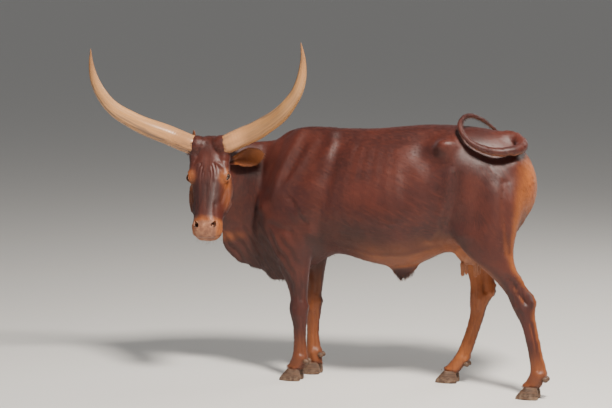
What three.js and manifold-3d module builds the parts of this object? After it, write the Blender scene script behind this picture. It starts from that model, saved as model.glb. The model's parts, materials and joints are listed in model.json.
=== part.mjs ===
// A long-horned African cow standing square on four feet, life size, in millimetres, +Z up.
// She faces -X with her left side towards -Y, her head turned hard to the left,
// and her tail thrown round the left of the rump and up over the back.
// The flesh is lofted: each form is a stack of closed sections along a path. The lofts are
// joined into one body, and thin cuts then part it into the pieces that a stockman would name.
import * as THREE from "three";
import { mergeVertices } from "three/addons/utils/BufferGeometryUtils.js";
import Module from "manifold-3d";

const wasm = await Module();
wasm.setup();

// Driving sizes. Places are measured from the floor beside the left fore foot, and the whole
// animal is moved at the end so that the part's origin is under the middle of her.
const withersTop = 1357;
const chestFloor = 600;
const bodyHalfWidth = 262;
const coronetHeight = 64;
const cutGap = 0.4;
const degrees = Math.PI / 180;
const vec = (x, y, z) => new THREE.Vector3(x, y, z);

// Curves and lofts

// A smooth run through named stations that never overshoots them (monotone cubic).
function smoothRun(stations, along, key) {
  const at = stations.map((s) => s[along]);
  const value = stations.map((s) => s[key] ?? 0);
  const last = at.length - 1;
  const slope = at.slice(1).map((a, i) => (value[i + 1] - value[i]) / (a - at[i]));
  const tangent = at.map((_, i) => {
    if (i === 0) return slope[0];
    if (i === last) return slope[last - 1];
    const [before, after] = [slope[i - 1], slope[i]];
    return before * after <= 0 ? 0 : (2 * before * after) / (before + after);
  });
  return (x) => {
    let i = 0;
    while (i < last - 1 && x > at[i + 1]) i += 1;
    const width = at[i + 1] - at[i];
    const t = THREE.MathUtils.clamp((x - at[i]) / width, 0, 1);
    const [t2, t3] = [t * t, t * t * t];
    return (
      value[i] * (2 * t3 - 3 * t2 + 1) +
      tangent[i] * width * (t3 - 2 * t2 + t) +
      value[i + 1] * (3 * t2 - 2 * t3) +
      tangent[i + 1] * width * (t3 - t2)
    );
  };
}

// Every size in a table of stations as a smooth run, and one call that reads them all.
function sizesAlong(stations, along) {
  const keys = [...new Set(stations.flatMap(Object.keys))].filter((k) => k !== along);
  const runs = keys.map((k) => [k, smoothRun(stations, along, k)]);
  return (x) => Object.fromEntries(runs.map(([k, run]) => [k, run(x)]));
}

const steps = (from, to, count) =>
  Array.from({ length: count + 1 }, (_, i) => from + ((to - from) * i) / count);

const power = (value, exponent) => Math.sign(value) * Math.abs(value) ** exponent;

// One closed section: half its width, its rise and drop from the middle, a ridge that narrows
// the top, a pinch that narrows the bottom, and how square its corners are (2 is an ellipse).
function section(middle, side, up, size, count) {
  return steps(0, 2 * Math.PI, count)
    .slice(0, count)
    .map((angle) => {
      const across = power(Math.cos(angle), 2 / (size.square || 2));
      const high = power(Math.sin(angle), 2 / (size.square || 2));
      const ridge = (size.ridge ?? 0) * Math.max(0, high) ** 1.5;
      const pinch = (size.pinch ?? 0) * Math.max(0, -high) ** 1.5;
      const narrow = 1 - ridge - pinch;
      return middle
        .clone()
        .addScaledVector(side, size.half * across * narrow)
        .addScaledVector(up, high > 0 ? size.rise * high : size.drop * high);
    });
}

// A closed skin over a stack of sections, with a fan at each end.
function loft(rings) {
  const count = rings[0].length;
  const centre = (ring) => ring.reduce((sum, p) => sum.add(p), vec(0, 0, 0)).divideScalar(count);
  const points = [...rings.flat(), centre(rings[0]), centre(rings.at(-1))];
  const first = rings.length * count;
  const index = [];
  for (let r = 0; r < rings.length - 1; r += 1)
    for (let i = 0; i < count; i += 1) {
      const [a, b] = [r * count + i, r * count + ((i + 1) % count)];
      index.push(a, b, a + count, b, b + count, a + count);
    }
  for (let i = 0; i < count; i += 1) {
    const next = (i + 1) % count;
    index.push(first, next, i);
    index.push(first + 1, (rings.length - 1) * count + i, (rings.length - 1) * count + next);
  }
  const geometry = new THREE.BufferGeometry().setFromPoints(points);
  geometry.setIndex(index);
  return geometry;
}

// Solids

// A closed geometry as a solid. A loft whose path runs the other way comes out inside out,
// so its triangles are turned round.
function solid(geometry) {
  const bare = new THREE.BufferGeometry();
  bare.setAttribute("position", geometry.getAttribute("position"));
  bare.setIndex(geometry.getIndex());
  const merged = mergeVertices(bare, 1e-3);
  const triVerts = new Uint32Array(merged.index.array);
  const vertProperties = merged.attributes.position.array;
  const made = new wasm.Manifold(new wasm.Mesh({ numProp: 3, vertProperties, triVerts }));
  if (made.volume() > 0) return made;
  for (let i = 0; i < triVerts.length; i += 3)
    [triVerts[i + 1], triVerts[i + 2]] = [triVerts[i + 2], triVerts[i + 1]];
  return new wasm.Manifold(new wasm.Mesh({ numProp: 3, vertProperties, triVerts }));
}

function geometryOf(body) {
  const mesh = body.getMesh();
  const points = new Float32Array(mesh.numVert * 3);
  for (let i = 0; i < mesh.numVert; i += 1)
    points.set(mesh.vertProperties.subarray(i * mesh.numProp, i * mesh.numProp + 3), i * 3);
  const geometry = new THREE.BufferGeometry();
  geometry.setAttribute("position", new THREE.BufferAttribute(points, 3));
  geometry.setIndex(new THREE.BufferAttribute(mesh.triVerts, 1));
  return geometry;
}

// The same body, pushed out along its normals by the gap that neighbours keep.
function grown(body, by = cutGap) {
  const geometry = geometryOf(body);
  geometry.computeVertexNormals();
  const place = geometry.attributes.position;
  const normal = geometry.attributes.normal;
  for (let i = 0; i < place.array.length; i += 1) place.array[i] += by * normal.array[i];
  geometry.deleteAttribute("normal");
  return solid(geometry);
}

function ellipsoid(middle, radii, basis, across = 12, down = 8) {
  const ball = new THREE.SphereGeometry(1, across, down).scale(...radii);
  if (basis) ball.applyMatrix4(new THREE.Matrix4().makeBasis(...basis));
  return solid(ball.translate(...middle));
}

// A basis turned about the lateral axis, so that its x axis points down by the angle.
const leaning = (angle) => [
  vec(Math.cos(angle), 0, -Math.sin(angle)),
  vec(0, 1, 0),
  vec(Math.sin(angle), 0, Math.cos(angle)),
];

// A box from its lowest to its highest corner, turned by a basis where one is given.
function block(low, high, basis, middle) {
  const size = high.clone().sub(low);
  const centre = low.clone().add(high).divideScalar(2);
  const box = new THREE.BoxGeometry(size.x, size.y, size.z).translate(...centre);
  if (basis) box.applyMatrix4(new THREE.Matrix4().makeBasis(...basis));
  return solid(middle ? box.translate(...middle) : box);
}

const join = (bodies) => bodies.reduce((a, b) => a.add(b));

// Trunk: sections across the body from the breast to the buttocks. The dewlap's root
// pinches the front ones, and the withers ridge them.

const trunkStations = [
  { x: -305, top: 960, floor: 690, half: 44, middle: 820, ridge: 0.1, pinch: 0.2 },
  { x: -262, top: 1150, floor: 572, half: 118, middle: 850, ridge: 0.15, pinch: 0.5 },
  { x: -170, top: 1275, floor: 510, half: 176, middle: 880, ridge: 0.35, pinch: 0.6 },
  { x: -60, top: 1345, floor: chestFloor - 75, half: 206, middle: 900, ridge: 0.55, pinch: 0.5 },
  { x: 60, top: withersTop + 1, floor: chestFloor + 8, half: 214, middle: 910, ridge: 0.55, pinch: 0.35 },
  { x: 200, top: withersTop - 8, floor: chestFloor + 72, half: 232, middle: 930, ridge: 0.42, pinch: 0.2 },
  { x: 360, top: withersTop - 8, floor: chestFloor + 38, half: 254, middle: 930, ridge: 0.32, pinch: 0.1 },
  { x: 510, top: withersTop + 5, floor: chestFloor + 20, half: bodyHalfWidth, middle: 930, ridge: 0.3 },
  { x: 640, top: withersTop + 19, floor: chestFloor + 46, half: 252, middle: 950, ridge: 0.26 },
  { x: 740, top: withersTop + 22, floor: chestFloor + 92, half: 226, middle: 1010, ridge: 0.12 },
  { x: 830, top: withersTop + 18, floor: chestFloor + 125, half: 214, middle: 1090, square: 2.3 },
  { x: 960, top: withersTop + 9, floor: chestFloor + 150, half: 210, middle: 1090, square: 2.3, ridge: 0.15 },
  { x: 1060, top: withersTop - 12, floor: chestFloor + 185, half: 192, middle: 1080, ridge: 0.28 },
  { x: 1150, top: withersTop - 66, floor: chestFloor + 250, half: 160, middle: 1070, ridge: 0.3 },
  { x: 1215, top: withersTop - 160, floor: chestFloor + 330, half: 112, middle: 1070, ridge: 0.2 },
  { x: 1247, top: withersTop - 240, floor: chestFloor + 400, half: 52, middle: 1060 },
].map((s) => ({ square: 2.1, ...s }));

// The sections stand closer together towards both ends of the trunk.
const endCrowding = 1.2;

const lateral = vec(0, 1, 0);
const upward = vec(0, 0, 1);

function trunk() {
  const size = sizesAlong(trunkStations, "x");
  const [front, back] = [trunkStations[0].x, trunkStations.at(-1).x];
  const rings = steps(-endCrowding, endCrowding, 21).map((turn) => {
    const x = (front + back) / 2 + ((back - front) / 2) * (Math.sin(turn) / Math.sin(endCrowding));
    const s = size(x);
    const heights = { rise: s.top - s.middle, drop: s.middle - s.floor };
    return section(vec(x, 0, s.middle), lateral, upward, { ...s, ...heights }, 20);
  });
  return solid(loft(rings));
}

// The navel flap is a thin fold that hangs from the middle of the belly.
const flapStations = [
  { x: 425, half: 8, drop: 4 },
  { x: 480, half: 20, drop: 42 },
  { x: 530, half: 24, drop: 82 },
  { x: 565, half: 22, drop: 70 },
  { x: 640, half: 8, drop: 6 },
];
const flapRoot = chestFloor + 38;
const flapRise = 30;

function navelFlap() {
  const size = sizesAlong(flapStations, "x");
  const rings = steps(flapStations[0].x, flapStations.at(-1).x, 8).map((x) =>
    section(vec(x, 0, flapRoot), lateral, upward, { ...size(x), rise: flapRise }, 10),
  );
  return solid(loft(rings));
}

// Bony points that stand out of the trunk: the hooks of the hips and the pin bones.
const hook = { place: [812, 176, 1262], radii: [78, 50, 62] };
const pinBone = { place: [1152, 90, 1176], radii: [56, 46, 66] };

function hips() {
  const both = ({ place: [x, y, z], radii }) =>
    [-1, 1].map((side) => ellipsoid(vec(x, side * y, z), radii, undefined, 8, 6));
  return join([...both(hook), ...both(pinBone)]);
}

// Neck: sections square to a path that leaves the shoulders and bends left to the head.

const neckPath = new THREE.CatmullRomCurve3([
  vec(60, 0, 960),
  vec(-90, 0, 975),
  vec(-215, -14, 1008),
  vec(-322, -60, 1062),
  vec(-398, -124, 1102),
  vec(-436, -196, 1122),
  vec(-448, -262, 1128),
]);

const neckStations = [
  { at: 0, half: 150, rise: 330, drop: 330, ridge: 0.5, pinch: 0.5 },
  { at: 0.2, half: 150, rise: 350, drop: 440, ridge: 0.55, pinch: 0.6 },
  { at: 0.4, half: 126, rise: 318, drop: 436, ridge: 0.6, pinch: 0.68 },
  { at: 0.58, half: 104, rise: 246, drop: 345, ridge: 0.55, pinch: 0.75 },
  { at: 0.74, half: 90, rise: 178, drop: 232, ridge: 0.42, pinch: 0.7 },
  { at: 0.88, half: 82, rise: 132, drop: 164, ridge: 0.3, pinch: 0.3 },
  { at: 1, half: 66, rise: 90, drop: 112, ridge: 0.2, pinch: 0.1 },
];

function neck() {
  const size = sizesAlong(neckStations, "at");
  const rings = steps(0, 1, 13).map((t) => {
    const along = neckPath.getPointAt(t);
    const heading = neckPath.getTangentAt(t);
    const side = new THREE.Vector3().crossVectors(upward, heading).normalize();
    const up = new THREE.Vector3().crossVectors(heading, side);
    return section(along, side, up, size(t), 16);
  });
  return solid(loft(rings));
}

// Head: its own frame has the poll at the origin. Left is the animal's left, down the face
// runs from the poll to the lips, and front stands out of the forehead.

const headTurn = 99 * degrees;
const headPitch = 22.5 * degrees;
const headTilt = -2.1 * degrees;
const pollPlace = vec(-433, -299, 1308);
const headScale = 1.025;

function headAxes() {
  const facing = vec(-Math.cos(headTurn), -Math.sin(headTurn), 0);
  const leftLevel = new THREE.Vector3().crossVectors(upward, facing);
  const between = (a, b, angle) =>
    a.clone().multiplyScalar(Math.cos(angle)).addScaledVector(b, Math.sin(angle));
  const nose = between(upward.clone().negate(), facing, headPitch);
  const front = between(facing, upward, headPitch);
  const left = between(leftLevel, nose, headTilt);
  const down = between(nose, leftLevel.clone().negate(), headTilt);
  return { left, down, front };
}
const headFrame = headAxes();

// A point or a direction given as (left, down the face, front) in the animal's frame.
const headWay = (left, down, front) =>
  new THREE.Vector3()
    .addScaledVector(headFrame.left, left)
    .addScaledVector(headFrame.down, down)
    .addScaledVector(headFrame.front, front);
const headPoint = (left, down, front) =>
  headWay(left, down, front).multiplyScalar(headScale).add(pollPlace);

const headStations = [
  { down: -16, half: 40, brow: -52, jaw: -104, middle: -78, square: 2.2 },
  { down: 4, half: 76, brow: -20, jaw: -150, middle: -80, square: 2.4 },
  { down: 40, half: 92, brow: -4, jaw: -186, middle: -84, square: 2.5, pinch: 0.1 },
  { down: 100, half: 92, brow: 2, jaw: -214, middle: -92, square: 2.6, pinch: 0.12 },
  { down: 150, half: 92, brow: 4, jaw: -226, middle: -98, square: 2.7, pinch: 0.1 },
  { down: 205, half: 101, brow: 2, jaw: -236, middle: -102, square: 2.8, pinch: 0.1 },
  { down: 255, half: 105, brow: -2, jaw: -240, middle: -112, square: 2.8, ridge: 0.16, pinch: 0.12 },
  { down: 310, half: 102, brow: -4, jaw: -232, middle: -118, square: 2.8, ridge: 0.28, pinch: 0.16 },
  { down: 365, half: 90, brow: -6, jaw: -200, middle: -110, square: 2.6, ridge: 0.28, pinch: 0.2 },
  { down: 415, half: 79, brow: -8, jaw: -166, middle: -92, square: 2.5, ridge: 0.2, pinch: 0.2 },
  { down: 455, half: 77, brow: -9, jaw: -150, middle: -80, square: 2.6, ridge: 0.05, pinch: 0.2 },
  { down: 490, half: 77, brow: -18, jaw: -142, middle: -78, square: 2.6, pinch: 0.2 },
  { down: 512, half: 64, brow: -32, jaw: -136, middle: -84, square: 2.5, pinch: 0.2 },
  { down: 528, half: 38, brow: -58, jaw: -122, middle: -92, square: 2.3 },
];

const brow = { place: [82, 204, -46], radii: [32, 40, 40] };
const hornRoot = { place: [78, 34, -46], radii: [44, 50, 48] };

function skull() {
  const size = sizesAlong(headStations, "down");
  const [poll, lips] = [headStations[0].down, headStations.at(-1).down];
  const rings = steps(poll, lips, 17).map((down) => {
    const s = size(down);
    const half = s.half * headScale;
    const rise = (s.brow - s.middle) * headScale;
    const drop = (s.middle - s.jaw) * headScale;
    const middle = headPoint(0, down, s.middle);
    return section(middle, headFrame.left, headFrame.front, { ...s, half, rise, drop }, 16);
  });
  const basis = [headFrame.left, headFrame.down, headFrame.front];
  const both = ({ place: [left, down, front], radii }) =>
    [-1, 1].map((side) => ellipsoid(headPoint(side * left, down, front), radii, basis, 8, 6));
  return join([solid(loft(rings)), ...both(brow), ...both(hornRoot)]);
}

// Eyes are balls set in the side of the head under the brows.
const eyeRadius = 20;
const eyePlace = [94, 212, -56];

function eyeball(side) {
  const [left, down, front] = eyePlace;
  const radii = [eyeRadius, eyeRadius, eyeRadius];
  return ellipsoid(headPoint(side * left, down, front), radii, undefined, 10, 6);
}

// Horns: oval sections along a curve that leaves the poll sideways, sweeps forward and
// lifts, and ends upright. Both follow one curve, mirrored.
const hornLine = [
  [77, 46, -30],
  [103, 38, -23],
  [187, 2, -18],
  [278, -24, 28],
  [366, -48, 101],
  [439, -80, 176],
  [494, -130, 239],
  [527, -194, 290],
  [540, -269, 339],
  [535, -341, 386],
];

const hornStations = [
  { at: 0, half: 47, rise: 52 },
  { at: 0.15, half: 46, rise: 53 },
  { at: 0.4, half: 40, rise: 47 },
  { at: 0.6, half: 32, rise: 37 },
  { at: 0.78, half: 23, rise: 26 },
  { at: 0.92, half: 11, rise: 12 },
  { at: 1, half: 2.5, rise: 2.5 },
];

function horn(side) {
  const line = hornLine.map(([left, down, front]) => headPoint(side * left, down, front));
  const path = new THREE.CatmullRomCurve3(line);
  const size = sizesAlong(hornStations, "at");
  const rings = steps(0, 1, 15).map((t) => {
    const heading = path.getTangentAt(t);
    const flat = new THREE.Vector3().crossVectors(heading, headFrame.front).normalize();
    const deep = new THREE.Vector3().crossVectors(flat, heading);
    const s = size(t);
    return section(path.getPointAt(t), deep, flat, { half: s.half, rise: s.rise, drop: s.rise }, 8);
  });
  return solid(loft(rings));
}

// Ears: a leaf with a hollow face, rolled into a stalk at its root.
const earLength = 182;
const earThickness = 9;
const rimThinning = 0.6;

const earStations = [
  { at: 0, half: 19, cup: 20 },
  { at: 0.16, half: 25, cup: 24 },
  { at: 0.36, half: 42, cup: 20 },
  { at: 0.56, half: 49, cup: 14 },
  { at: 0.76, half: 42, cup: 9 },
  { at: 0.92, half: 23, cup: 4 },
  { at: 1, half: 5, cup: 1 },
];

// The left ear stands out sideways with its hollow to the front, and the right one is
// laid back and up behind its horn.
const ears = {
  left: { root: [92, 106, -118], along: [0.94, -0.28, -0.24], open: [0.2, 0.25, 0.95] },
  right: { root: [-92, 96, -118], along: [-0.16, -0.95, -0.26], open: [-0.85, 0.05, 0.4] },
};

function ear({ root, along, open }) {
  const axis = headWay(...along).normalize();
  const width = new THREE.Vector3().crossVectors(axis, headWay(...open)).normalize();
  const hollow = new THREE.Vector3().crossVectors(width, axis);
  const size = sizesAlong(earStations, "at");
  const across = steps(-1, 1, 6);
  const rings = steps(0, 1, 8).map((t) => {
    const { half, cup } = size(t);
    const spot = headPoint(...root).addScaledVector(axis, t * earLength);
    const wall = (a, lift) =>
      spot
        .clone()
        .addScaledVector(width, half * a)
        .addScaledVector(hollow, cup * a * a + lift * (1 - rimThinning * a * a));
    const inside = across.map((a) => wall(a, earThickness / 2));
    const outside = [...across].reverse().map((a) => wall(a, -earThickness / 2));
    return [...inside, ...outside];
  });
  return solid(loft(rings));
}

// Legs: level sections stacked along a line that runs down each leg. Ahead and behind are
// measured from that line, half is half the width, and wedge narrows the back of the hock.

const foreStations = [
  { z: 1120, ahead: 20, behind: 60, half: 26, out: 118 },
  { z: 1040, ahead: 92, behind: 96, half: 50, out: 130 },
  { z: 940, ahead: 168, behind: 120, half: 66, out: 134 },
  { z: 850, ahead: 190, behind: 140, half: 76, out: 134 },
  { z: 760, ahead: 160, behind: 128, half: 76, out: 132 },
  { z: 690, ahead: 128, behind: 98, half: 70, out: 126 },
  { z: 600, ahead: 98, behind: 70, half: 58, out: 118 },
  { z: 500, ahead: 64, behind: 52, half: 46, out: 110 },
  { z: 430, ahead: 50, behind: 48, half: 42, out: 108 },
  { z: 385, ahead: 52, behind: 54, half: 47, out: 108 },
  { z: 340, ahead: 46, behind: 48, half: 44, out: 108 },
  { z: 290, ahead: 36, behind: 42, half: 35, out: 108 },
  { z: 210, ahead: 34, behind: 40, half: 32, out: 108 },
  { z: 150, ahead: 38, behind: 44, half: 36, out: 108 },
  { z: 118, ahead: 46, behind: 50, half: 44, out: 108 },
  { z: 90, ahead: 58, behind: 36, half: 43, out: 108 },
  { z: coronetHeight, ahead: 74, behind: 34, half: 48, out: 108 },
];

const hindStations = [
  { z: 1190, ahead: 60, behind: 70, half: 26, out: 118 },
  { z: 1110, ahead: 140, behind: 148, half: 62, out: 124 },
  { z: 1000, ahead: 178, behind: 192, half: 86, out: 124 },
  { z: 900, ahead: 182, behind: 176, half: 88, out: 130 },
  { z: 810, ahead: 188, behind: 144, half: 82, out: 142 },
  { z: 740, ahead: 176, behind: 112, half: 72, out: 150 },
  { z: 690, ahead: 138, behind: 92, half: 64, out: 152 },
  { z: 630, ahead: 92, behind: 76, half: 54, out: 148 },
  { z: 575, ahead: 70, behind: 72, half: 44, out: 142, wedge: 0.2 },
  { z: 525, ahead: 62, behind: 82, half: 42, out: 138, wedge: 0.45 },
  { z: 480, ahead: 62, behind: 74, half: 44, out: 136, wedge: 0.4 },
  { z: 430, ahead: 55, behind: 54, half: 41, out: 136, wedge: 0.2 },
  { z: 375, ahead: 41, behind: 43, half: 35, out: 136 },
  { z: 260, ahead: 38, behind: 40, half: 33, out: 136 },
  { z: 165, ahead: 41, behind: 44, half: 36, out: 136 },
  { z: 125, ahead: 48, behind: 52, half: 45, out: 136 },
  { z: 92, ahead: 60, behind: 36, half: 43, out: 136 },
  { z: coronetHeight, ahead: 76, behind: 34, half: 48, out: 136 },
];

// Each leg's line as fore-and-aft places at heights, and how far its foot stands from
// where the stations put it, sideways.
const legs = {
  fore_left: {
    side: -1,
    fore: true,
    spread: 0,
    line: [[1120, 0], [850, -24], [690, -14], [500, 0], [385, 0], [120, 2], [64, -8]],
  },
  fore_right: {
    side: 1,
    fore: true,
    spread: -18,
    line: [[1120, 0], [850, -20], [690, -4], [500, 10], [385, 4], [210, 2], [120, 10], [64, 30]],
  },
  hind_left: {
    side: -1,
    fore: false,
    spread: 2,
    line: [
      [1190, 1020], [900, 1026], [740, 1064], [630, 1126], [500, 1204],
      [400, 1240], [230, 1282], [125, 1300], [64, 1284],
    ],
  },
  hind_right: {
    side: 1,
    fore: false,
    spread: -20,
    line: [
      [1190, 1020], [900, 1006], [740, 956], [630, 918],
      [500, 928], [400, 914], [125, 826], [64, 788],
    ],
  },
};
const splayStarts = 700;

function legPlace(leg) {
  const stations = leg.fore ? foreStations : hindStations;
  const size = sizesAlong(stations.map((s) => ({ wedge: 0, ...s })).reverse(), "z");
  const line = smoothRun(leg.line.map(([z, x]) => ({ z, x })).reverse(), "z", "x");
  return (z) => {
    const s = size(z);
    const splay = leg.spread * THREE.MathUtils.clamp(1 - z / splayStarts, 0, 1);
    return { ...s, x: line(z), y: leg.side * (s.out + splay) };
  };
}

// A leg's sections stand closer together towards the foot.
const footCrowding = 1.25;

function legBody(leg) {
  const at = legPlace(leg);
  const top = (leg.fore ? foreStations : hindStations)[0].z;
  const heights = steps(0, 1, 16).map((t) => coronetHeight + (top - coronetHeight) * t ** footCrowding);
  const rings = heights.map((z) => {
    const s = at(z);
    return steps(0, 2 * Math.PI, 10)
      .slice(0, 10)
      .map((angle) => {
        const ahead = Math.cos(angle);
        const reach = (ahead > 0 ? s.ahead : s.behind) * ahead;
        const narrow = 1 - s.wedge * Math.max(0, -ahead);
        return vec(s.x - reach, s.y + s.half * Math.sin(angle) * narrow, z);
      });
  });
  return solid(loft(rings));
}

// Claws: two on each foot, flat below, with a sloping wall and a cleft between them.
const clawStations = [
  { z: 0, toe: 62, heel: 56, half: 24 },
  { z: 14, toe: 57, heel: 59, half: 26 },
  { z: 40, toe: 36, heel: 56, half: 25.5 },
  { z: coronetHeight - cutGap, toe: 14, heel: 50, half: 22.5 },
];
const cleft = 28.5;
const clawSetBack = 34;
const clawSplay = 0.05;
const toeNarrowing = 0.25;

function claw(leg, inner) {
  const foot = legPlace(leg)(coronetHeight);
  const size = sizesAlong(clawStations, "z");
  const rings = steps(0, coronetHeight - cutGap, 4).map((z) => {
    const s = size(z);
    return steps(0, 2 * Math.PI, 10)
      .slice(0, 10)
      .map((angle) => {
        const ahead = Math.cos(angle);
        const narrow = ahead > 0 ? 1 - toeNarrowing * ahead * ahead : 1;
        const across = s.half * power(Math.sin(angle), 0.8) * narrow;
        const reach = (ahead > 0 ? s.toe : s.heel) * ahead;
        const aside = inner * (cleft + clawSplay * reach);
        return vec(foot.x - clawSetBack - reach, foot.y + aside + across, z);
      });
  });
  return solid(loft(rings));
}

// Dewclaws: two blunt nubs behind each fetlock.
const fetlockHeight = 112;
const dewclawShape = { aside: 21, height: 106, sunk: 4, slant: 28 * degrees, radii: [19, 12, 15] };

function dewclaw(leg, inner) {
  const { aside, height, sunk, slant, radii } = dewclawShape;
  const fetlock = legPlace(leg)(fetlockHeight);
  const middle = vec(fetlock.x + fetlock.behind - sunk, fetlock.y + inner * aside, height);
  return ellipsoid(middle, radii, leaning(slant), 6, 4);
}

// Udder: a small bag between the thighs with four teats.
const bag = { place: [912, 0, 700], radii: [92, 70, 62] };
const teatTip = 592;
const teatPlaces = [[872, -36], [872, 36], [940, -32], [940, 32]];
const teatStations = [
  { z: 0, half: 4 },
  { z: 8, half: 9 },
  { z: 36, half: 11 },
  { z: 70, half: 15 },
];

function teat([x, y]) {
  const size = sizesAlong(teatStations, "z");
  const rings = steps(0, teatStations.at(-1).z, 4).map((z) => {
    const { half } = size(z);
    return section(vec(x, y, teatTip + z), vec(1, 0, 0), lateral, { half, rise: half, drop: half }, 6);
  });
  return solid(loft(rings));
}

function udder() {
  const body = ellipsoid(vec(...bag.place), bag.radii, undefined, 10, 6);
  return join([body, ...teatPlaces.map(teat)]);
}

// Tail: it tapers from the croup, round the left of the rump, forward, up in a loop
// over the back, and down the right side of the croup to its switch.
const tailPath = new THREE.CatmullRomCurve3([
  vec(1040, 0, 1312),
  vec(1100, -6, 1318),
  vec(1150, -24, 1304),
  vec(1182, -62, 1284),
  vec(1178, -112, 1266),
  vec(1140, -156, 1256),
  vec(1080, -180, 1254),
  vec(1015, -188, 1268),
  vec(950, -186, 1298),
  vec(902, -170, 1340),
  vec(878, -138, 1384),
  vec(886, -92, 1418),
  vec(916, -38, 1424),
  vec(942, 30, 1404),
  vec(966, 98, 1372),
  vec(990, 160, 1334),
  vec(1014, 208, 1276),
  vec(1028, 232, 1190),
]);

const tailStations = [
  { at: 0, half: 46 },
  { at: 0.06, half: 42 },
  { at: 0.13, half: 36 },
  { at: 0.2, half: 31 },
  { at: 0.3, half: 26 },
  { at: 0.42, half: 19 },
  { at: 0.56, half: 15.5 },
  { at: 0.75, half: 12.5 },
  { at: 1, half: 10 },
];

// A length of the tail from one share of its path to another, with a round section.
function tailLength(from, to, count) {
  const size = sizesAlong(tailStations, "at");
  const rings = steps(from, to, count).map((t) => {
    const heading = tailPath.getTangentAt(t);
    const side = new THREE.Vector3().crossVectors(upward, heading).normalize();
    const up = new THREE.Vector3().crossVectors(heading, side);
    const { half } = size(t);
    return section(tailPath.getPointAt(t), side, up, { half, rise: half, drop: half }, 8);
  });
  return solid(loft(rings));
}

// The switch is the hanging brush of hair at the tail's end.
const switchPath = new THREE.CatmullRomCurve3([
  vec(1028.5, 232.5, 1189),
  vec(1036, 244, 1110),
  vec(1040, 252, 1020),
  vec(1040, 256, 930),
  vec(1038, 256, 850),
]);
const switchStations = [
  { at: 0, half: 9.5 },
  { at: 0.25, half: 21 },
  { at: 0.55, half: 26 },
  { at: 0.85, half: 17 },
  { at: 1, half: 4 },
];

function tailSwitch() {
  const size = sizesAlong(switchStations, "at");
  const rings = steps(0, 1, 10).map((t) => {
    const { half } = size(t);
    return section(switchPath.getPointAt(t), lateral, vec(1, 0, 0), { half, rise: half, drop: half }, 8);
  });
  return solid(loft(rings));
}

// The whole animal, then its pieces

const pieces = new Map();
const limbs = Object.values(legs).map(legBody);
let flesh = join([trunk(), navelFlap(), hips(), neck(), skull(), ...limbs, udder()]);

const eyes = { left: eyeball(1), right: eyeball(-1) };
for (const [side, ball] of Object.entries(eyes)) {
  flesh = flesh.subtract(grown(ball));
  pieces.set(`eye_${side}`, ball);
}
const wholeFlesh = grown(flesh);
pieces.set("horn_left", horn(1).subtract(wholeFlesh));
pieces.set("horn_right", horn(-1).subtract(wholeFlesh));
const hornsGrown = grown(pieces.get("horn_left")).add(grown(pieces.get("horn_right")));
pieces.set("ear_left", ear(ears.left).subtract(wholeFlesh).subtract(hornsGrown));
pieces.set("ear_right", ear(ears.right).subtract(wholeFlesh).subtract(hornsGrown));
const tailGap = 0.0004;
const [bendStart, endStart] = [0.26, 0.56];
pieces.set("tail_root", tailLength(0, bendStart, 10).subtract(wholeFlesh));
pieces.set("tail_bend", tailLength(bendStart + tailGap, endStart, 11));
pieces.set("tail_end", tailLength(endStart + tailGap, 1, 13));
pieces.set("tail_switch", tailSwitch().subtract(grown(pieces.get("tail_end"))));
for (const [name, leg] of Object.entries(legs))
  for (const [place, inner] of [["outer", leg.side], ["inner", -leg.side]]) {
    pieces.set(`${name}_claw_${place}`, claw(leg, inner));
    pieces.set(`${name}_dewclaw_${place}`, dewclaw(leg, inner).subtract(wholeFlesh));
  }

// Cuts a block's share out of the flesh, under a name, and leaves a thin gap beside it.
function cutOut(name, low, high, basis, middle) {
  const gap = vec(cutGap, cutGap, cutGap);
  pieces.set(name, flesh.intersect(block(low, high, basis, middle)));
  flesh = flesh.subtract(block(low.clone().sub(gap), high.clone().add(gap), basis, middle));
}

// The head parts from the neck on a slant, from behind the poll to the angle of the jaw, and
// the neck from the trunk on a slant from the withers to the breast.
const slanted = (basis, angle) => {
  const turn = new THREE.Matrix4().makeRotationAxis(basis[0], angle);
  return basis.map((axis) => axis.clone().applyMatrix4(turn));
};
const headBasis = [headFrame.left, headFrame.down, headFrame.front];
const throatSlant = 19.5 * degrees;
const neckBasis = leaning(0.31);
const neckCutPlace = vec(-195, 0, 900);
cutOut("muzzle", vec(-120, 438, -240), vec(120, 620, 60), headBasis, pollPlace);
cutOut("head", vec(-150, -300, -144), vec(150, 700, 300), slanted(headBasis, throatSlant), pollPlace);
cutOut("neck", vec(-700, -800, -500), vec(0, 400, 800), neckBasis, neckCutPlace);
cutOut("udder", vec(815, -76, 400), vec(1012, 76, 745));

// Where each pair of legs is cut: the joint between lower and upper, the top of the upper leg,
// how far inside it reaches, and the foremost and hindmost places of its blocks.
const legCuts = {
  fore: { joint: 385, top: 640, inside: 50, front: -400, back: 200 },
  hind: { joint: 500, top: 700, inside: 30, front: 600, back: 1500 },
};
const lowerInside = 20;
const outside = 400;
const frontMargin = 12;
for (const [name, leg] of Object.entries(legs)) {
  const { joint, top, inside, front, back } = leg.fore ? legCuts.fore : legCuts.hind;
  const between = (near) => [near, outside].map((y) => leg.side * y).sort((a, b) => a - b);
  const [low, high] = [between(lowerInside), between(inside)];
  const atTop = legPlace(leg)(top);
  const upperFront = Math.max(front, atTop.x - atTop.ahead - frontMargin);
  cutOut(`${name}_lower`, vec(front, low[0], 0), vec(back, low[1], joint));
  cutOut(`${name}_upper`, vec(upperFront, high[0], joint), vec(back, high[1], top));
}
pieces.set("trunk", flesh);

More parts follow.
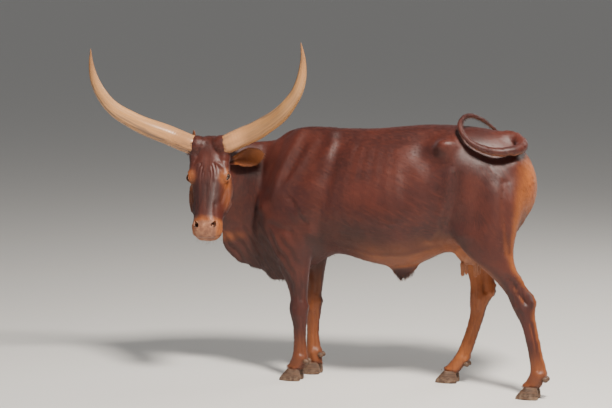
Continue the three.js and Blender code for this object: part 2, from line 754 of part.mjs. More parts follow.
const finish = {
  hide: new THREE.MeshStandardMaterial({ color: 0x6b2c1b, roughness: 0.55 }),
  bare: new THREE.MeshStandardMaterial({ color: 0xb07358, roughness: 0.45 }),
  horn: new THREE.MeshStandardMaterial({ color: 0xc99a6a, roughness: 0.4 }),
  claw: new THREE.MeshStandardMaterial({ color: 0x4a3a30, roughness: 0.6 }),
  eye: new THREE.MeshStandardMaterial({ color: 0x120b08, roughness: 0.1 }),
  brush: new THREE.MeshStandardMaterial({ color: 0x4d2114, roughness: 0.7 }),
};
const finishOf = (name) => {
  if (name.startsWith("eye")) return finish.eye;
  if (name.startsWith("horn")) return finish.horn;
  if (name.includes("claw")) return finish.claw;
  if (name === "muzzle") return finish.bare;
  return name === "tail_switch" ? finish.brush : finish.hide;
};

const cow = new THREE.Group();
for (const [name, body] of pieces) {
  const mesh = new THREE.Mesh(geometryOf(body), finishOf(name));
  mesh.name = name;
  cow.add(mesh);
}
const reach = new THREE.Box3().setFromObject(cow);
cow.position.copy(reach.getCenter(vec(0, 0, 0))).setZ(reach.min.z).negate();

export default cow;
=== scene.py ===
# %% [markdown]
# A life-size model of a long-horned African cow, standing with her head turned to her left.
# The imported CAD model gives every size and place. This lesson dresses it: one skin with its
# muscles and folds, then the eyes, horns, hooves and hair, and a finish for each of them.
# Everything is worked out in numpy as arrays of points, and only then handed to Blender.

# %% Load the frame
import json
import bpy
import bmesh
import numpy as np
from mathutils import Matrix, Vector

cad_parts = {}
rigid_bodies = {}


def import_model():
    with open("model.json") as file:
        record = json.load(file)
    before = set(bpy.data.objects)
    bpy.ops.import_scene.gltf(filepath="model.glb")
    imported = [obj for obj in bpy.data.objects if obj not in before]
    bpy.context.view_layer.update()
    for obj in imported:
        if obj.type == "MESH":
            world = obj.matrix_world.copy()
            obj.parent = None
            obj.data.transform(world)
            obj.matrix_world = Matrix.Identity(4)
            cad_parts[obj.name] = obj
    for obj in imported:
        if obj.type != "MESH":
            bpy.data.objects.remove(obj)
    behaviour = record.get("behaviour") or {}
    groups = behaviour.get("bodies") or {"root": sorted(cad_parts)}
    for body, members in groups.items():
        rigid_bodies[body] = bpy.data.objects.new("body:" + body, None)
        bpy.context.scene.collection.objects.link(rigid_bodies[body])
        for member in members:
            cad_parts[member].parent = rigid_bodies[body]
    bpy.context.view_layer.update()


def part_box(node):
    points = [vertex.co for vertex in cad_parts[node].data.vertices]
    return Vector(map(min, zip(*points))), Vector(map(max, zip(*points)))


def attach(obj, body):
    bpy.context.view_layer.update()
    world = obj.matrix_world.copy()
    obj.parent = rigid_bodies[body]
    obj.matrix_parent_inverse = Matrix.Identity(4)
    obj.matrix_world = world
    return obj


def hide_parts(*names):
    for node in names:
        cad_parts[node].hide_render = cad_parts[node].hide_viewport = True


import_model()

# %% [markdown]
# The CAD model measures from the floor beside the left fore foot, with the cow facing -X and
# her left side towards -Y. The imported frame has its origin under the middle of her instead,
# so every point made here is moved by one step, `from_foot`, when it becomes a mesh.

# %% Places
from_foot = np.array([-0.194151, 0.173083, 0.0])
toe_low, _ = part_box("fore_left_claw_outer")
print("left fore toe, as packed and as placed here:", toe_low[0], from_foot[0] - 0.104)

# %% [markdown]
# The photograph was taken from about 10 m with a long lens, a little above the cow's middle.
# The camera looks at one point from an azimuth and an elevation, so that the same numbers
# give the same framing each time. Nothing here depends on the size of the rendered image.

# %% Camera
azimuth = np.radians(20.0)
elevation = np.radians(6.5)
camera_distance = 10.0
looked_at = np.array([-0.001, 0.001, 0.93]) + from_foot
focal_length_px = 1880.8
photo_width_px = 612
towards_camera = np.array([
    np.sin(azimuth) * np.cos(elevation),
    -np.cos(azimuth) * np.cos(elevation),
    np.sin(elevation),
])
camera_data = bpy.data.cameras.new("camera")
camera_data.sensor_width = 36.0
camera_data.lens = 36.0 * focal_length_px / photo_width_px
camera_data.clip_end = 2000.0
camera = bpy.data.objects.new("camera", camera_data)
camera.location = Vector(looked_at + camera_distance * towards_camera)
camera.rotation_euler = Vector(-towards_camera).to_track_quat("-Z", "Y").to_euler()
bpy.context.collection.objects.link(camera)
bpy.context.scene.camera = camera
print("camera at", tuple(round(v, 3) for v in camera.location), "lens", round(camera_data.lens, 1))

# %% [markdown]
# In the photograph the sun stands high behind her hips, on the camera's side. Soft studio
# light can keep to that side: a key lamp between there and the camera, a weaker one in front
# to open the shadows, one behind for the outline, and a pale world all round.

# %% Light and floor
def area_lamp(name, direction, distance, size, power, colour):
    """A square lamp `distance` from her middle along `direction`, turned to face her."""
    lamp = bpy.data.lights.new(name, "AREA")
    lamp.size = size
    lamp.energy = power
    lamp.color = colour
    thing = bpy.data.objects.new(name, lamp)
    towards = Vector(direction).normalized()
    thing.location = Vector((0.0, 0.0, 0.9)) + towards * distance
    thing.rotation_euler = (-towards).to_track_quat("-Z", "Y").to_euler()
    bpy.context.collection.objects.link(thing)
    print(name, "of", power, "W at", tuple(round(v, 2) for v in thing.location))


area_lamp("key_lamp", (0.58, -0.62, 1.0), 6.0, 1.1, 900.0, (1.0, 0.94, 0.86))
area_lamp("fill_lamp", (-0.8, -0.9, 0.35), 6.0, 3.6, 40.0, (0.92, 0.96, 1.0))
area_lamp("rim_lamp", (0.7, 0.9, 0.8), 6.0, 3.0, 130.0, (1.0, 0.97, 0.92))
world = bpy.data.worlds.new("studio")
world.use_nodes = True
world.node_tree.nodes["Background"].inputs["Color"].default_value = (0.86, 0.87, 0.88, 1.0)
world.node_tree.nodes["Background"].inputs["Strength"].default_value = 0.25
bpy.context.scene.world = world

floor_half = 400
floor_corners = [(x * floor_half, y * floor_half, 0) for x, y in ((-1, -1), (1, -1), (1, 1), (-1, 1))]
floor_mesh = bpy.data.meshes.new("floor")
floor_mesh.from_pydata(floor_corners, [], [(0, 1, 2, 3)])
floor = bpy.data.objects.new("floor", floor_mesh)
bpy.context.collection.objects.link(floor)
floor_finish = bpy.data.materials.new("floor")
floor_finish.use_nodes = True
floor_shader = floor_finish.node_tree.nodes["Principled BSDF"]
floor_shader.inputs["Base Color"].default_value = (0.72, 0.70, 0.67, 1.0)
floor_shader.inputs["Roughness"].default_value = 0.9
floor_mesh.materials.append(floor_finish)

# %% [markdown]
# Every form on an animal swells and narrows without corners. A few stations carry its sizes,
# and a monotone cubic joins them: it is smooth, and it never bulges past a station, which an
# ordinary spline through the same points would do.

# %% Smooth runs between stations
def smooth_run(stations, at):
    """The columns of `stations` (place first, then sizes) at each place in `at`.

    Between two stations it is the cubic whose slopes are the harmonic mean of the slopes on
    both sides, or zero where they change sign.
    """
    stations = np.asarray(stations, float)
    place, value = stations[:, 0], stations[:, 1:]
    step = np.diff(place)
    slope = np.diff(value, axis=0) / step[:, None]
    tangent = np.zeros_like(value)
    tangent[0], tangent[-1] = slope[0], slope[-1]
    product = slope[1:] * slope[:-1]
    total = np.where(product > 0, slope[1:] + slope[:-1], 1.0)
    tangent[1:-1] = np.where(product > 0, 2.0 * product / total, 0.0)
    at = np.clip(np.asarray(at, float), place[0], place[-1])
    i = np.clip(np.searchsorted(place, at) - 1, 0, len(place) - 2)
    t = ((at - place[i]) / step[i])[..., None]
    width = step[i][..., None]
    return (
        value[i] * (2 * t**3 - 3 * t**2 + 1)
        + tangent[i] * width * (t**3 - 2 * t**2 + t)
        + value[i + 1] * (3 * t**2 - 2 * t**3)
        + tangent[i + 1] * width * (t**3 - t**2)
    )


def curve_through(points, count):
    """`count` points along a Catmull-Rom curve through `points`, evenly spaced, and its headings."""
    p = np.asarray(points, float)
    p = np.vstack([2 * p[0] - p[1], p, 2 * p[-1] - p[-2]])
    t = np.linspace(0, 1, 40, endpoint=False)[:, None]
    pieces = []
    for a, b, c, d in zip(p[:-3], p[1:-2], p[2:-1], p[3:]):
        span = [np.linalg.norm(q - r) ** 0.5 for q, r in ((b, a), (c, b), (d, c))]
        m1 = (c - b) - span[1] * ((c - a) / (span[0] + span[1]) - (b - a) / span[0])
        m2 = (c - b) - span[1] * ((d - b) / (span[1] + span[2]) - (d - c) / span[2])
        pieces.append(b + m1 * t + (3 * (c - b) - 2 * m1 - m2) * t**2 + (2 * (b - c) + m1 + m2) * t**3)
    fine = np.vstack(pieces + [p[-2:-1]])
    far = np.concatenate([[0], np.cumsum(np.linalg.norm(np.diff(fine, axis=0), axis=1))])
    even = np.linspace(0, far[-1], count)
    path = np.stack([np.interp(even, far, fine[:, k]) for k in range(3)], axis=1)
    heading = np.gradient(path, axis=0)
    return path, heading / np.linalg.norm(heading, axis=1)[:, None]


def fade(low, high, value):
    """0 below `low`, 1 above `high`, and a smooth S between them."""
    t = np.clip((value - low) / (high - low), 0, 1)
    return t * t * (3 - 2 * t)

# %% [markdown]
# A cross-section of a body is close to an ellipse, but squarer at the hips, narrower towards
# the spine and narrower still at the dewlap. One formula covers them all, so the whole trunk
# is a stack of such sections. The coat stands on the skin, so the skin is drawn `coat_depth`
# inside the outline that the CAD solids give.

# %% Sections and lofts
coat_depth = 0.004


def rings_of(middle, side, up, size, count):
    """A ring of `count` points for each station, an array (stations, count, 3).

    Across is half times the signed power of the cosine, high the signed power of the sine,
    with the power 2 / square. The top narrows by ridge and the bottom by pinch, both times
    the height to the power of one and a half.
    """
    turn = np.linspace(0, 2 * np.pi, count, endpoint=False)
    power = (2.0 / size["square"])[:, None]
    across = np.sign(np.cos(turn)) * np.abs(np.cos(turn)) ** power
    high = np.sign(np.sin(turn)) * np.abs(np.sin(turn)) ** power
    top, bottom = np.clip(high, 0, 1) ** 1.5, np.clip(-high, 0, 1) ** 1.5
    across = across * (1 - size["ridge"][:, None] * top - size["pinch"][:, None] * bottom)
    half = size["half"] - coat_depth
    lift = np.where(high > 0, size["rise"][:, None], size["drop"][:, None]) - coat_depth
    return (
        middle[:, None, :]
        + side[:, None, :] * (half[:, None] * across)[..., None]
        + up[:, None, :] * (lift * high)[..., None]
    )


def closed_tube(rings):
    """Points and faces of a closed tube through `rings`, with a fan of triangles at each end."""
    rows, count = rings.shape[:2]
    points = np.vstack([rings.reshape(-1, 3), rings[0].mean(axis=0), rings[-1].mean(axis=0)])
    row = np.arange(rows - 1)[:, None] * count
    a = row + np.arange(count)
    b = row + (np.arange(count) + 1) % count
    quads = np.stack([a, b, b + count, a + count], axis=-1).reshape(-1, 4)
    first, last = rows * count, (rows - 1) * count
    i = np.arange(count)
    j = (i + 1) % count
    near = np.stack([np.full(count, first), j, i], axis=-1)
    far = np.stack([np.full(count, first + 1), last + i, last + j], axis=-1)
    triangles = np.vstack([near, far])
    flow = np.cross(points[quads[:, 1]] - points[quads[:, 0]], points[quads[:, 2]] - points[quads[:, 0]])
    volume = (points[quads[:, 0]] * flow).sum()
    if volume < 0:
        quads, triangles = quads[:, ::-1], triangles[:, ::-1]
    return points, [*quads.tolist(), *triangles.tolist()]


def mesh_from(name, tubes):
    """One mesh from a list of closed tubes, each (points, faces)."""
    points, faces = [], []
    total = 0
    for some_points, some_faces in tubes:
        points.append(some_points)
        faces += [[corner + total for corner in face] for face in some_faces]
        total += len(some_points)
    mesh = bpy.data.meshes.new(name)
    mesh.from_pydata(np.vstack(points).tolist(), [], faces)
    return mesh


lateral = np.array([0.0, 1.0, 0.0])
upward = np.array([0.0, 0.0, 1.0])
print("the skin lies", coat_depth, "m inside the outline")

# %% [markdown]
# The trunk's sections stand across the body, from the breast at x = -0.3 to the buttocks.
# Each row gives its place, its top and floor, half its width, the height of its widest
# point, the ridge of the spine, the pinch of the brisket and how square it is.

# %% Trunk
trunk_stations = [
    (-0.305, 0.960, 0.690, 0.044, 0.820, 0.10, 0.20, 2.1),
    (-0.262, 1.150, 0.572, 0.118, 0.850, 0.15, 0.50, 2.1),
    (-0.170, 1.275, 0.510, 0.176, 0.880, 0.35, 0.60, 2.1),
    (-0.060, 1.345, 0.525, 0.206, 0.900, 0.55, 0.50, 2.1),
    (0.060, 1.358, 0.608, 0.214, 0.910, 0.55, 0.35, 2.1),
    (0.200, 1.349, 0.672, 0.232, 0.930, 0.42, 0.20, 2.1),
    (0.360, 1.349, 0.638, 0.254, 0.930, 0.32, 0.10, 2.1),
    (0.510, 1.362, 0.620, 0.262, 0.930, 0.30, 0.00, 2.1),
    (0.640, 1.376, 0.646, 0.252, 0.950, 0.26, 0.00, 2.1),
    (0.740, 1.379, 0.692, 0.226, 1.010, 0.12, 0.00, 2.1),
    (0.830, 1.375, 0.725, 0.214, 1.090, 0.00, 0.00, 2.3),
    (0.960, 1.366, 0.750, 0.210, 1.090, 0.15, 0.00, 2.3),
    (1.060, 1.345, 0.785, 0.192, 1.080, 0.28, 0.00, 2.1),
    (1.150, 1.291, 0.850, 0.160, 1.070, 0.30, 0.00, 2.1),
    (1.215, 1.197, 0.930, 0.112, 1.070, 0.20, 0.00, 2.1),
    (1.247, 1.117, 1.000, 0.052, 1.060, 0.00, 0.00, 2.1),
]


def trunk():
    """Sections across the body, closer together towards both ends as a sine spaces them."""
    end_crowding = 1.2
    turn = np.linspace(-end_crowding, end_crowding, 90)
    front, back = trunk_stations[0][0] + coat_depth, trunk_stations[-1][0] - coat_depth
    x = (front + back) / 2 + (back - front) / 2 * np.sin(turn) / np.sin(end_crowding)
    top, bottom, half, middle, ridge, pinch, square = smooth_run(trunk_stations, x).T
    size = dict(half=half, rise=top - middle, drop=middle - bottom, ridge=ridge, pinch=pinch, square=square)
    place = np.stack([x, np.zeros_like(x), middle], axis=1)
    return closed_tube(rings_of(place, np.tile(lateral, (90, 1)), np.tile(upward, (90, 1)), size, 72))


def navel_flap():
    """The fold of skin under the belly: thin sections that hang and rise again."""
    stations = [(0.425, 0.008, 0.004), (0.48, 0.020, 0.042), (0.53, 0.024, 0.082),
                (0.565, 0.022, 0.070), (0.64, 0.008, 0.006)]
    x = np.linspace(0.428, 0.636, 24)
    half, drop = smooth_run(stations, x).T
    zero = np.zeros_like(x)
    size = dict(half=half + 0.002, rise=zero + 0.03, drop=drop, ridge=zero, pinch=zero, square=zero + 2)
    place = np.stack([x, zero, zero + 0.638], axis=1)
    return closed_tube(rings_of(place, np.tile(lateral, (24, 1)), np.tile(upward, (24, 1)), size, 24))


def ball(middle, radii, axes=np.eye(3), count=28, depth=coat_depth):
    """An ellipsoid: rings of latitude scaled by `radii`, less `depth`, along the rows of `axes`."""
    down = np.linspace(0.06, np.pi - 0.06, count // 2)
    turn = np.linspace(0, 2 * np.pi, count, endpoint=False)
    unit = np.stack([
        np.sin(down)[:, None] * np.cos(turn),
        np.sin(down)[:, None] * np.sin(turn),
        np.cos(down)[:, None] * np.ones(count),
    ], axis=-1)
    return closed_tube(np.asarray(middle) + (unit * (np.asarray(radii) - depth)) @ axes)


hips = [ball((x, s * y, z), r) for s in (-1, 1) for x, y, z, r in (
    (0.812, 0.176, 1.262, (0.078, 0.050, 0.062)), (1.152, 0.090, 1.176, (0.056, 0.046, 0.066)))]
print("trunk:", len(trunk_stations), "stations and", len(hips), "balls for the hip bones")

# %% [markdown]
# The neck leaves the shoulders straight and bends hard to the left. Its sections stand square
# to that path. They hang far lower than they rise, because the dewlap is part of them.

# %% Neck
neck_path = [(0.060, 0.0, 0.960), (-0.090, 0.0, 0.975), (-0.215, -0.014, 1.008), (-0.322, -0.060, 1.062),
             (-0.398, -0.124, 1.102), (-0.436, -0.196, 1.122), (-0.448, -0.262, 1.128)]
neck_stations = [
    (0.00, 0.150, 0.330, 0.330, 0.50, 0.50),
    (0.20, 0.150, 0.350, 0.440, 0.55, 0.60),
    (0.40, 0.126, 0.318, 0.436, 0.60, 0.68),
    (0.58, 0.104, 0.246, 0.345, 0.55, 0.75),
    (0.74, 0.090, 0.178, 0.232, 0.42, 0.70),
    (0.88, 0.082, 0.132, 0.164, 0.30, 0.30),
    (1.00, 0.066, 0.090, 0.112, 0.20, 0.10),
]


def neck():
    """Sections square to the neck's path, with the sizes that its stations give."""
    path, heading = curve_through(neck_path, 60)
    side = np.cross(upward, heading)
    side /= np.linalg.norm(side, axis=1)[:, None]
    half, rise, drop, ridge, pinch = smooth_run(neck_stations, np.linspace(0, 1, 60)).T
    size = dict(half=half, rise=rise, drop=drop, ridge=ridge, pinch=pinch, square=np.full(60, 2.0))
    return closed_tube(rings_of(path, side, np.cross(heading, side), size, 60))


print("neck:", len(neck_stations), "stations")

# %% [markdown]
# The head has a frame of its own, with its origin at the poll between the horns. A point on
# it is given as how far left, how far down the face and how far in front of the forehead, so
# that both halves of the face can be made from the same numbers.

# %% Head frame
head_turn, head_pitch, head_tilt = np.radians([99.0, 22.5, -2.1])
poll = np.array([-0.433, -0.299, 1.308])
head_scale = 1.025


def head_axes():
    """Rows: the animal's left, down the face, and out of the face."""
    facing = np.array([-np.cos(head_turn), -np.sin(head_turn), 0.0])
    level_left = np.cross(upward, facing)
    nose = -np.cos(head_pitch) * upward + np.sin(head_pitch) * facing
    front = np.cos(head_pitch) * facing + np.sin(head_pitch) * upward
    left = np.cos(head_tilt) * level_left + np.sin(head_tilt) * nose
    return np.array([left, np.cos(head_tilt) * nose - np.sin(head_tilt) * level_left, front])


head_frame = head_axes()


def head_point(*places):
    """Points given in the head's frame, as points of the whole cow."""
    return poll + head_scale * np.asarray(places, float) @ head_frame


def in_head(points):
    """Points of the whole cow, as (left, down, front) in the head's frame."""
    return (points - poll) @ head_frame.T / head_scale


print("the poll is", poll[2], "m above the floor")

# %% [markdown]
# The skull is sections across the face, from the poll to the lips, and a few balls for what
# stands out of them: the brows, the roots of the horns, and the temples that join the two.

# %% Skull
head_stations = [
    (-0.016, 0.040, -0.052, -0.104, -0.078, 0.00, 0.00, 2.2),
    (0.004, 0.076, -0.020, -0.150, -0.080, 0.00, 0.00, 2.4),
    (0.040, 0.092, -0.004, -0.186, -0.084, 0.00, 0.10, 2.5),
    (0.100, 0.092, 0.002, -0.214, -0.092, 0.00, 0.12, 2.6),
    (0.150, 0.092, 0.004, -0.226, -0.098, 0.00, 0.10, 2.7),
    (0.205, 0.101, 0.002, -0.236, -0.102, 0.00, 0.10, 2.8),
    (0.255, 0.105, -0.002, -0.240, -0.112, 0.16, 0.12, 2.8),
    (0.310, 0.109, -0.004, -0.236, -0.124, 0.30, 0.14, 2.8),
    (0.365, 0.096, -0.006, -0.208, -0.116, 0.28, 0.18, 2.6),
    (0.415, 0.079, -0.008, -0.166, -0.092, 0.20, 0.20, 2.5),
    (0.455, 0.077, -0.009, -0.150, -0.080, 0.05, 0.20, 2.6),
    (0.490, 0.077, -0.018, -0.142, -0.078, 0.00, 0.20, 2.6),
    (0.512, 0.064, -0.032, -0.136, -0.084, 0.00, 0.20, 2.5),
    (0.528, 0.038, -0.058, -0.122, -0.092, 0.00, 0.00, 2.3),
]


def skull():
    """Sections across the face from the poll to the lips, with brows, horn roots and temples."""
    down = np.linspace(-0.012, 0.524, 64)
    half, brow, jaw, middle, ridge, pinch, square = smooth_run(head_stations, down).T
    size = dict(half=half * head_scale, rise=(brow - middle) * head_scale,
                drop=(middle - jaw) * head_scale, ridge=ridge, pinch=pinch, square=square)
    place = head_point(*np.stack([0 * down, down, middle], axis=1))
    rings = rings_of(place, np.tile(head_frame[0], (64, 1)), np.tile(head_frame[2], (64, 1)), size, 56)
    bumps = [
        ball(head_point((s * left, low, front))[0], radii, head_frame)
        for s in (-1, 1)
        for left, low, front, radii in (
            (0.082, 0.204, -0.046, (0.032, 0.040, 0.040)),
            (0.071, 0.045, -0.034, (0.060, 0.059, 0.058)),
            (0.076, 0.098, -0.052, (0.036, 0.062, 0.050)),
            (0.076, 0.150, -0.056, (0.034, 0.050, 0.046)),
        )
    ]
    return [closed_tube(rings), *bumps]


print("skull:", len(head_stations), "stations")

# %% [markdown]
# A leg is a stack of level sections along a line that runs down it. Ahead and behind are
# measured from that line, so a knee, a hock or a fetlock is a matter of two numbers.

# %% Legs
coronet = 0.064
fore_stations = [
    (1.120, 0.020, 0.060, 0.026, 0.118, 0.0), (1.040, 0.092, 0.096, 0.050, 0.130, 0.0),
    (0.940, 0.168, 0.120, 0.066, 0.134, 0.0), (0.850, 0.190, 0.140, 0.076, 0.134, 0.0),
    (0.760, 0.160, 0.128, 0.076, 0.132, 0.0), (0.690, 0.128, 0.098, 0.070, 0.126, 0.0),
    (0.600, 0.098, 0.070, 0.058, 0.118, 0.0), (0.500, 0.064, 0.052, 0.046, 0.110, 0.0),
    (0.430, 0.050, 0.048, 0.042, 0.108, 0.0), (0.385, 0.052, 0.054, 0.047, 0.108, 0.0),
    (0.340, 0.046, 0.048, 0.044, 0.108, 0.0), (0.290, 0.036, 0.042, 0.035, 0.108, 0.0),
    (0.210, 0.034, 0.040, 0.032, 0.108, 0.0), (0.150, 0.038, 0.044, 0.036, 0.108, 0.0),
    (0.118, 0.046, 0.050, 0.044, 0.108, 0.0), (0.090, 0.058, 0.036, 0.043, 0.108, 0.0),
    (coronet, 0.074, 0.034, 0.048, 0.108, 0.0),
]
hind_stations = [
    (1.190, 0.060, 0.070, 0.026, 0.118, 0.0), (1.110, 0.140, 0.148, 0.062, 0.124, 0.0),
    (1.000, 0.178, 0.192, 0.086, 0.124, 0.0), (0.900, 0.182, 0.176, 0.088, 0.130, 0.0),
    (0.810, 0.188, 0.144, 0.082, 0.142, 0.0), (0.740, 0.176, 0.112, 0.072, 0.150, 0.0),
    (0.690, 0.138, 0.092, 0.064, 0.152, 0.0), (0.630, 0.092, 0.076, 0.054, 0.148, 0.0),
    (0.575, 0.070, 0.072, 0.044, 0.142, 0.2), (0.525, 0.062, 0.082, 0.042, 0.138, 0.45),
    (0.480, 0.062, 0.074, 0.044, 0.136, 0.4), (0.430, 0.055, 0.054, 0.041, 0.136, 0.2),
    (0.375, 0.041, 0.043, 0.035, 0.136, 0.0), (0.260, 0.038, 0.040, 0.033, 0.136, 0.0),
    (0.165, 0.041, 0.044, 0.036, 0.136, 0.0), (0.125, 0.048, 0.052, 0.045, 0.136, 0.0),
    (0.092, 0.060, 0.036, 0.043, 0.136, 0.0), (coronet, 0.076, 0.034, 0.048, 0.136, 0.0),
]
legs = {
    "fore_left": (-1, fore_stations, 0.0,
                  [(1.12, 0.0), (0.85, -0.024), (0.69, -0.014), (0.5, 0.0), (0.385, 0.0), (0.12, 0.002),
                   (0.064, -0.008)]),
    "fore_right": (1, fore_stations, -0.018,
                   [(1.12, 0.0), (0.85, -0.020), (0.69, -0.004), (0.5, 0.010), (0.385, 0.004),
                    (0.21, 0.002), (0.12, 0.010), (0.064, 0.030)]),
    "hind_left": (-1, hind_stations, 0.002,
                  [(1.19, 1.020), (0.9, 1.026), (0.74, 1.064), (0.63, 1.126), (0.5, 1.204), (0.4, 1.240),
                   (0.23, 1.282), (0.125, 1.300), (0.064, 1.284)]),
    "hind_right": (1, hind_stations, -0.020,
                   [(1.19, 1.020), (0.9, 1.006), (0.74, 0.956), (0.63, 0.918), (0.5, 0.928), (0.4, 0.914),
                    (0.125, 0.826), (0.064, 0.788)]),
}


def leg_sizes(name, z):
    """(x, y, ahead, behind, half, wedge) of a leg at the heights z."""
    side, stations, spread, line = legs[name]
    ahead, behind, half, out, wedge = smooth_run(sorted(stations), z).T
    x = smooth_run(sorted(line), z)[..., 0]
    y = side * (out + spread * np.clip(1 - z / 0.7, 0, 1))
    return x, y, ahead, behind, half, wedge


def leg(name):
    """Level oval sections, deeper behind than ahead or the other way, narrowed at the hock."""
    top = legs[name][1][0][0]
    z = coronet + (top - coronet - coat_depth) * np.linspace(0, 1, 90) ** 1.25
    x, y, ahead, behind, half, wedge = leg_sizes(name, z)
    turn = np.linspace(0, 2 * np.pi, 40, endpoint=False)
    forward = np.cos(turn)
    reach = np.where(forward > 0, ahead[:, None], behind[:, None]) - coat_depth
    narrow = 1 - wedge[:, None] * np.clip(-forward, 0, 1)
    rings = np.stack([
        x[:, None] - reach * forward,
        y[:, None] + (half - coat_depth)[:, None] * np.sin(turn) * narrow,
        z[:, None] + 0 * turn,
    ], axis=-1)
    return closed_tube(rings)


udder_bag = ball((0.912, 0.0, 0.700), (0.092, 0.070, 0.062))
print("legs:", ", ".join(legs))

# %% [markdown]
# The tail is long and limp. It leaves the croup, runs forward round the left of the rump, loops up
# over the back and hangs down on the far side. Only its fleshy part is skin.

# %% Tail
tail_path = [
    (1.040, 0.000, 1.312), (1.100, -0.006, 1.318), (1.150, -0.024, 1.304), (1.182, -0.062, 1.284),
    (1.178, -0.112, 1.266), (1.140, -0.156, 1.256), (1.080, -0.180, 1.254), (1.015, -0.188, 1.268),
    (0.950, -0.186, 1.298), (0.902, -0.170, 1.340), (0.878, -0.138, 1.384), (0.886, -0.092, 1.418),
    (0.916, -0.038, 1.424), (0.942, 0.030, 1.404), (0.966, 0.098, 1.372), (0.990, 0.160, 1.334),
    (1.014, 0.208, 1.276), (1.028, 0.232, 1.190),
]
tail_stations = [(0.0, 0.046), (0.06, 0.042), (0.13, 0.036), (0.2, 0.031), (0.3, 0.026), (0.42, 0.019),
                 (0.56, 0.0155), (0.75, 0.0125), (1.0, 0.010)]


def tail_tube(start, end, count, around, grow=0.0):
    """A round tube along a share of the tail's path, `grow` thicker than the skin."""
    path, _ = curve_through(tail_path, 400)
    share = np.linspace(start, end, count)
    path = np.stack([np.interp(share, np.linspace(0, 1, 400), path[:, k]) for k in range(3)], axis=1)
    heading = np.gradient(path, axis=0)
    heading /= np.linalg.norm(heading, axis=1)[:, None]
    side = np.cross(upward, heading)
    side /= np.linalg.norm(side, axis=1)[:, None]
    radius = smooth_run(tail_stations, share)[:, 0] + grow
    zero = np.zeros(count)
    size = dict(half=radius, rise=radius, drop=radius, ridge=zero, pinch=zero, square=zero + 2)
    return closed_tube(rings_of(path, side, np.cross(heading, side), size, around))


print("tail:", len(tail_path), "places on its path")

# %% [markdown]
# All these forms overlap, and a real animal shows no joint where they meet. A voxel remesh
# melts them into one closed surface of even squares. The face needs finer squares than the
# flank, so space is stretched round the head before the remesh and shrunk back after it.

# %% One skin from all the forms
head_middle = head_point((0.0, 0.26, -0.10))[0]
fine_radius = 0.34
fine_factor = 2.6
voxel = 0.0170


def stretch(points):
    """Moves points away from the head's middle: fine_factor times as far inside fine_radius."""
    away = points - head_middle
    far = np.linalg.norm(away, axis=1)[:, None]
    new = np.where(far < fine_radius, far * fine_factor, far + fine_radius * (fine_factor - 1))
    return head_middle + away * new / np.maximum(far, 1e-9)


def unstretch(points):
    """Undoes stretch()."""
    away = points - head_middle
    far = np.linalg.norm(away, axis=1)[:, None]
    edge = fine_radius * fine_factor
    new = np.where(far < edge, far / fine_factor, far - fine_radius * (fine_factor - 1))
    return head_middle + away * new / np.maximum(far, 1e-9)


def evaluated(thing):
    """The mesh of an object with its modifiers applied."""
    graph = bpy.context.evaluated_depsgraph_get()
    return bpy.data.meshes.new_from_object(thing.evaluated_get(graph))


def points_of(mesh):
    """A mesh's points as an array."""
    flat = np.empty(len(mesh.vertices) * 3)
    mesh.vertices.foreach_get("co", flat)
    return flat.reshape(-1, 3)


def rows_of(mesh):
    """A mesh's faces as rows of four point numbers; a triangle repeats its last one."""
    corners = np.empty(len(mesh.loops), int)
    mesh.loops.foreach_get("vertex_index", corners)
    starts, sizes = np.empty(len(mesh.polygons), int), np.empty(len(mesh.polygons), int)
    mesh.polygons.foreach_get("loop_start", starts)
    mesh.polygons.foreach_get("loop_total", sizes)
    last = np.where(sizes == 4, 3, 2)
    return corners[np.stack([starts, starts + 1, starts + 2, starts + last], axis=1)]


def melted_body():
    """The body, head and legs as one surface of squares: its points and its quads."""
    forms = [trunk(), navel_flap(), *hips, neck(), *skull(), *[leg(name) for name in legs], udder_bag,
             tail_tube(0, 0.09, 30, 40, 0.002)]
    forms = [(stretch(points), faces) for points, faces in forms]
    thing = bpy.data.objects.new("melting", mesh_from("melting", forms))
    bpy.context.collection.objects.link(thing)
    remesh = thing.modifiers.new("melt", "REMESH")
    remesh.mode = "VOXEL"
    remesh.voxel_size = voxel
    bpy.context.view_layer.update()
    mesh = evaluated(thing)
    bpy.data.objects.remove(thing)
    return unstretch(points_of(mesh)), rows_of(mesh)


skin_points, skin_quads = melted_body()
print("the melted body:", len(skin_points), "points and", len(skin_quads), "squares")

# %% [markdown]
# The melted surface still shows where one form ran into another. Moving each point towards
# the middle of its neighbours irons that out. On the thin parts, such as the legs, the face
# and the dewlap, every step in is followed by a step out, which keeps their size.

# %% Iron the skin
def edges_of(quads):
    """Each edge of the quads once, as pairs of point numbers."""
    pairs = np.vstack([quads[:, [i, (i + 1) % 4]] for i in range(4)])
    return np.unique(np.sort(pairs, axis=1), axis=0)


def ironed(points, edges, weight, rounds, back=0.0):
    """Each round: point += weight (mean of neighbours - point), then a step of -back weight."""
    here, there = np.concatenate([edges, edges[:, ::-1]]).T
    number = np.maximum(np.bincount(here, minlength=len(points)), 1)[:, None]
    for _ in range(rounds):
        for share in (weight, -back * weight) if back else (weight,):
            total = np.stack([np.bincount(here, points[there, k], len(points)) for k in range(3)], axis=1)
            points = points + share[:, None] * (total / number - points)
    return points


def normals_of(points, quads):
    """Unit normals of the points, from the diagonals of the quads around them."""
    across = points[quads[:, 2]] - points[quads[:, 0]]
    along = points[quads[:, 3]] - points[quads[:, 1]]
    flat = np.cross(across, along)
    total = np.stack([
        np.bincount(quads.ravel(), np.repeat(flat[:, k], 4), len(points)) for k in range(3)], axis=1)
    return total / np.maximum(np.linalg.norm(total, axis=1), 1e-12)[:, None]


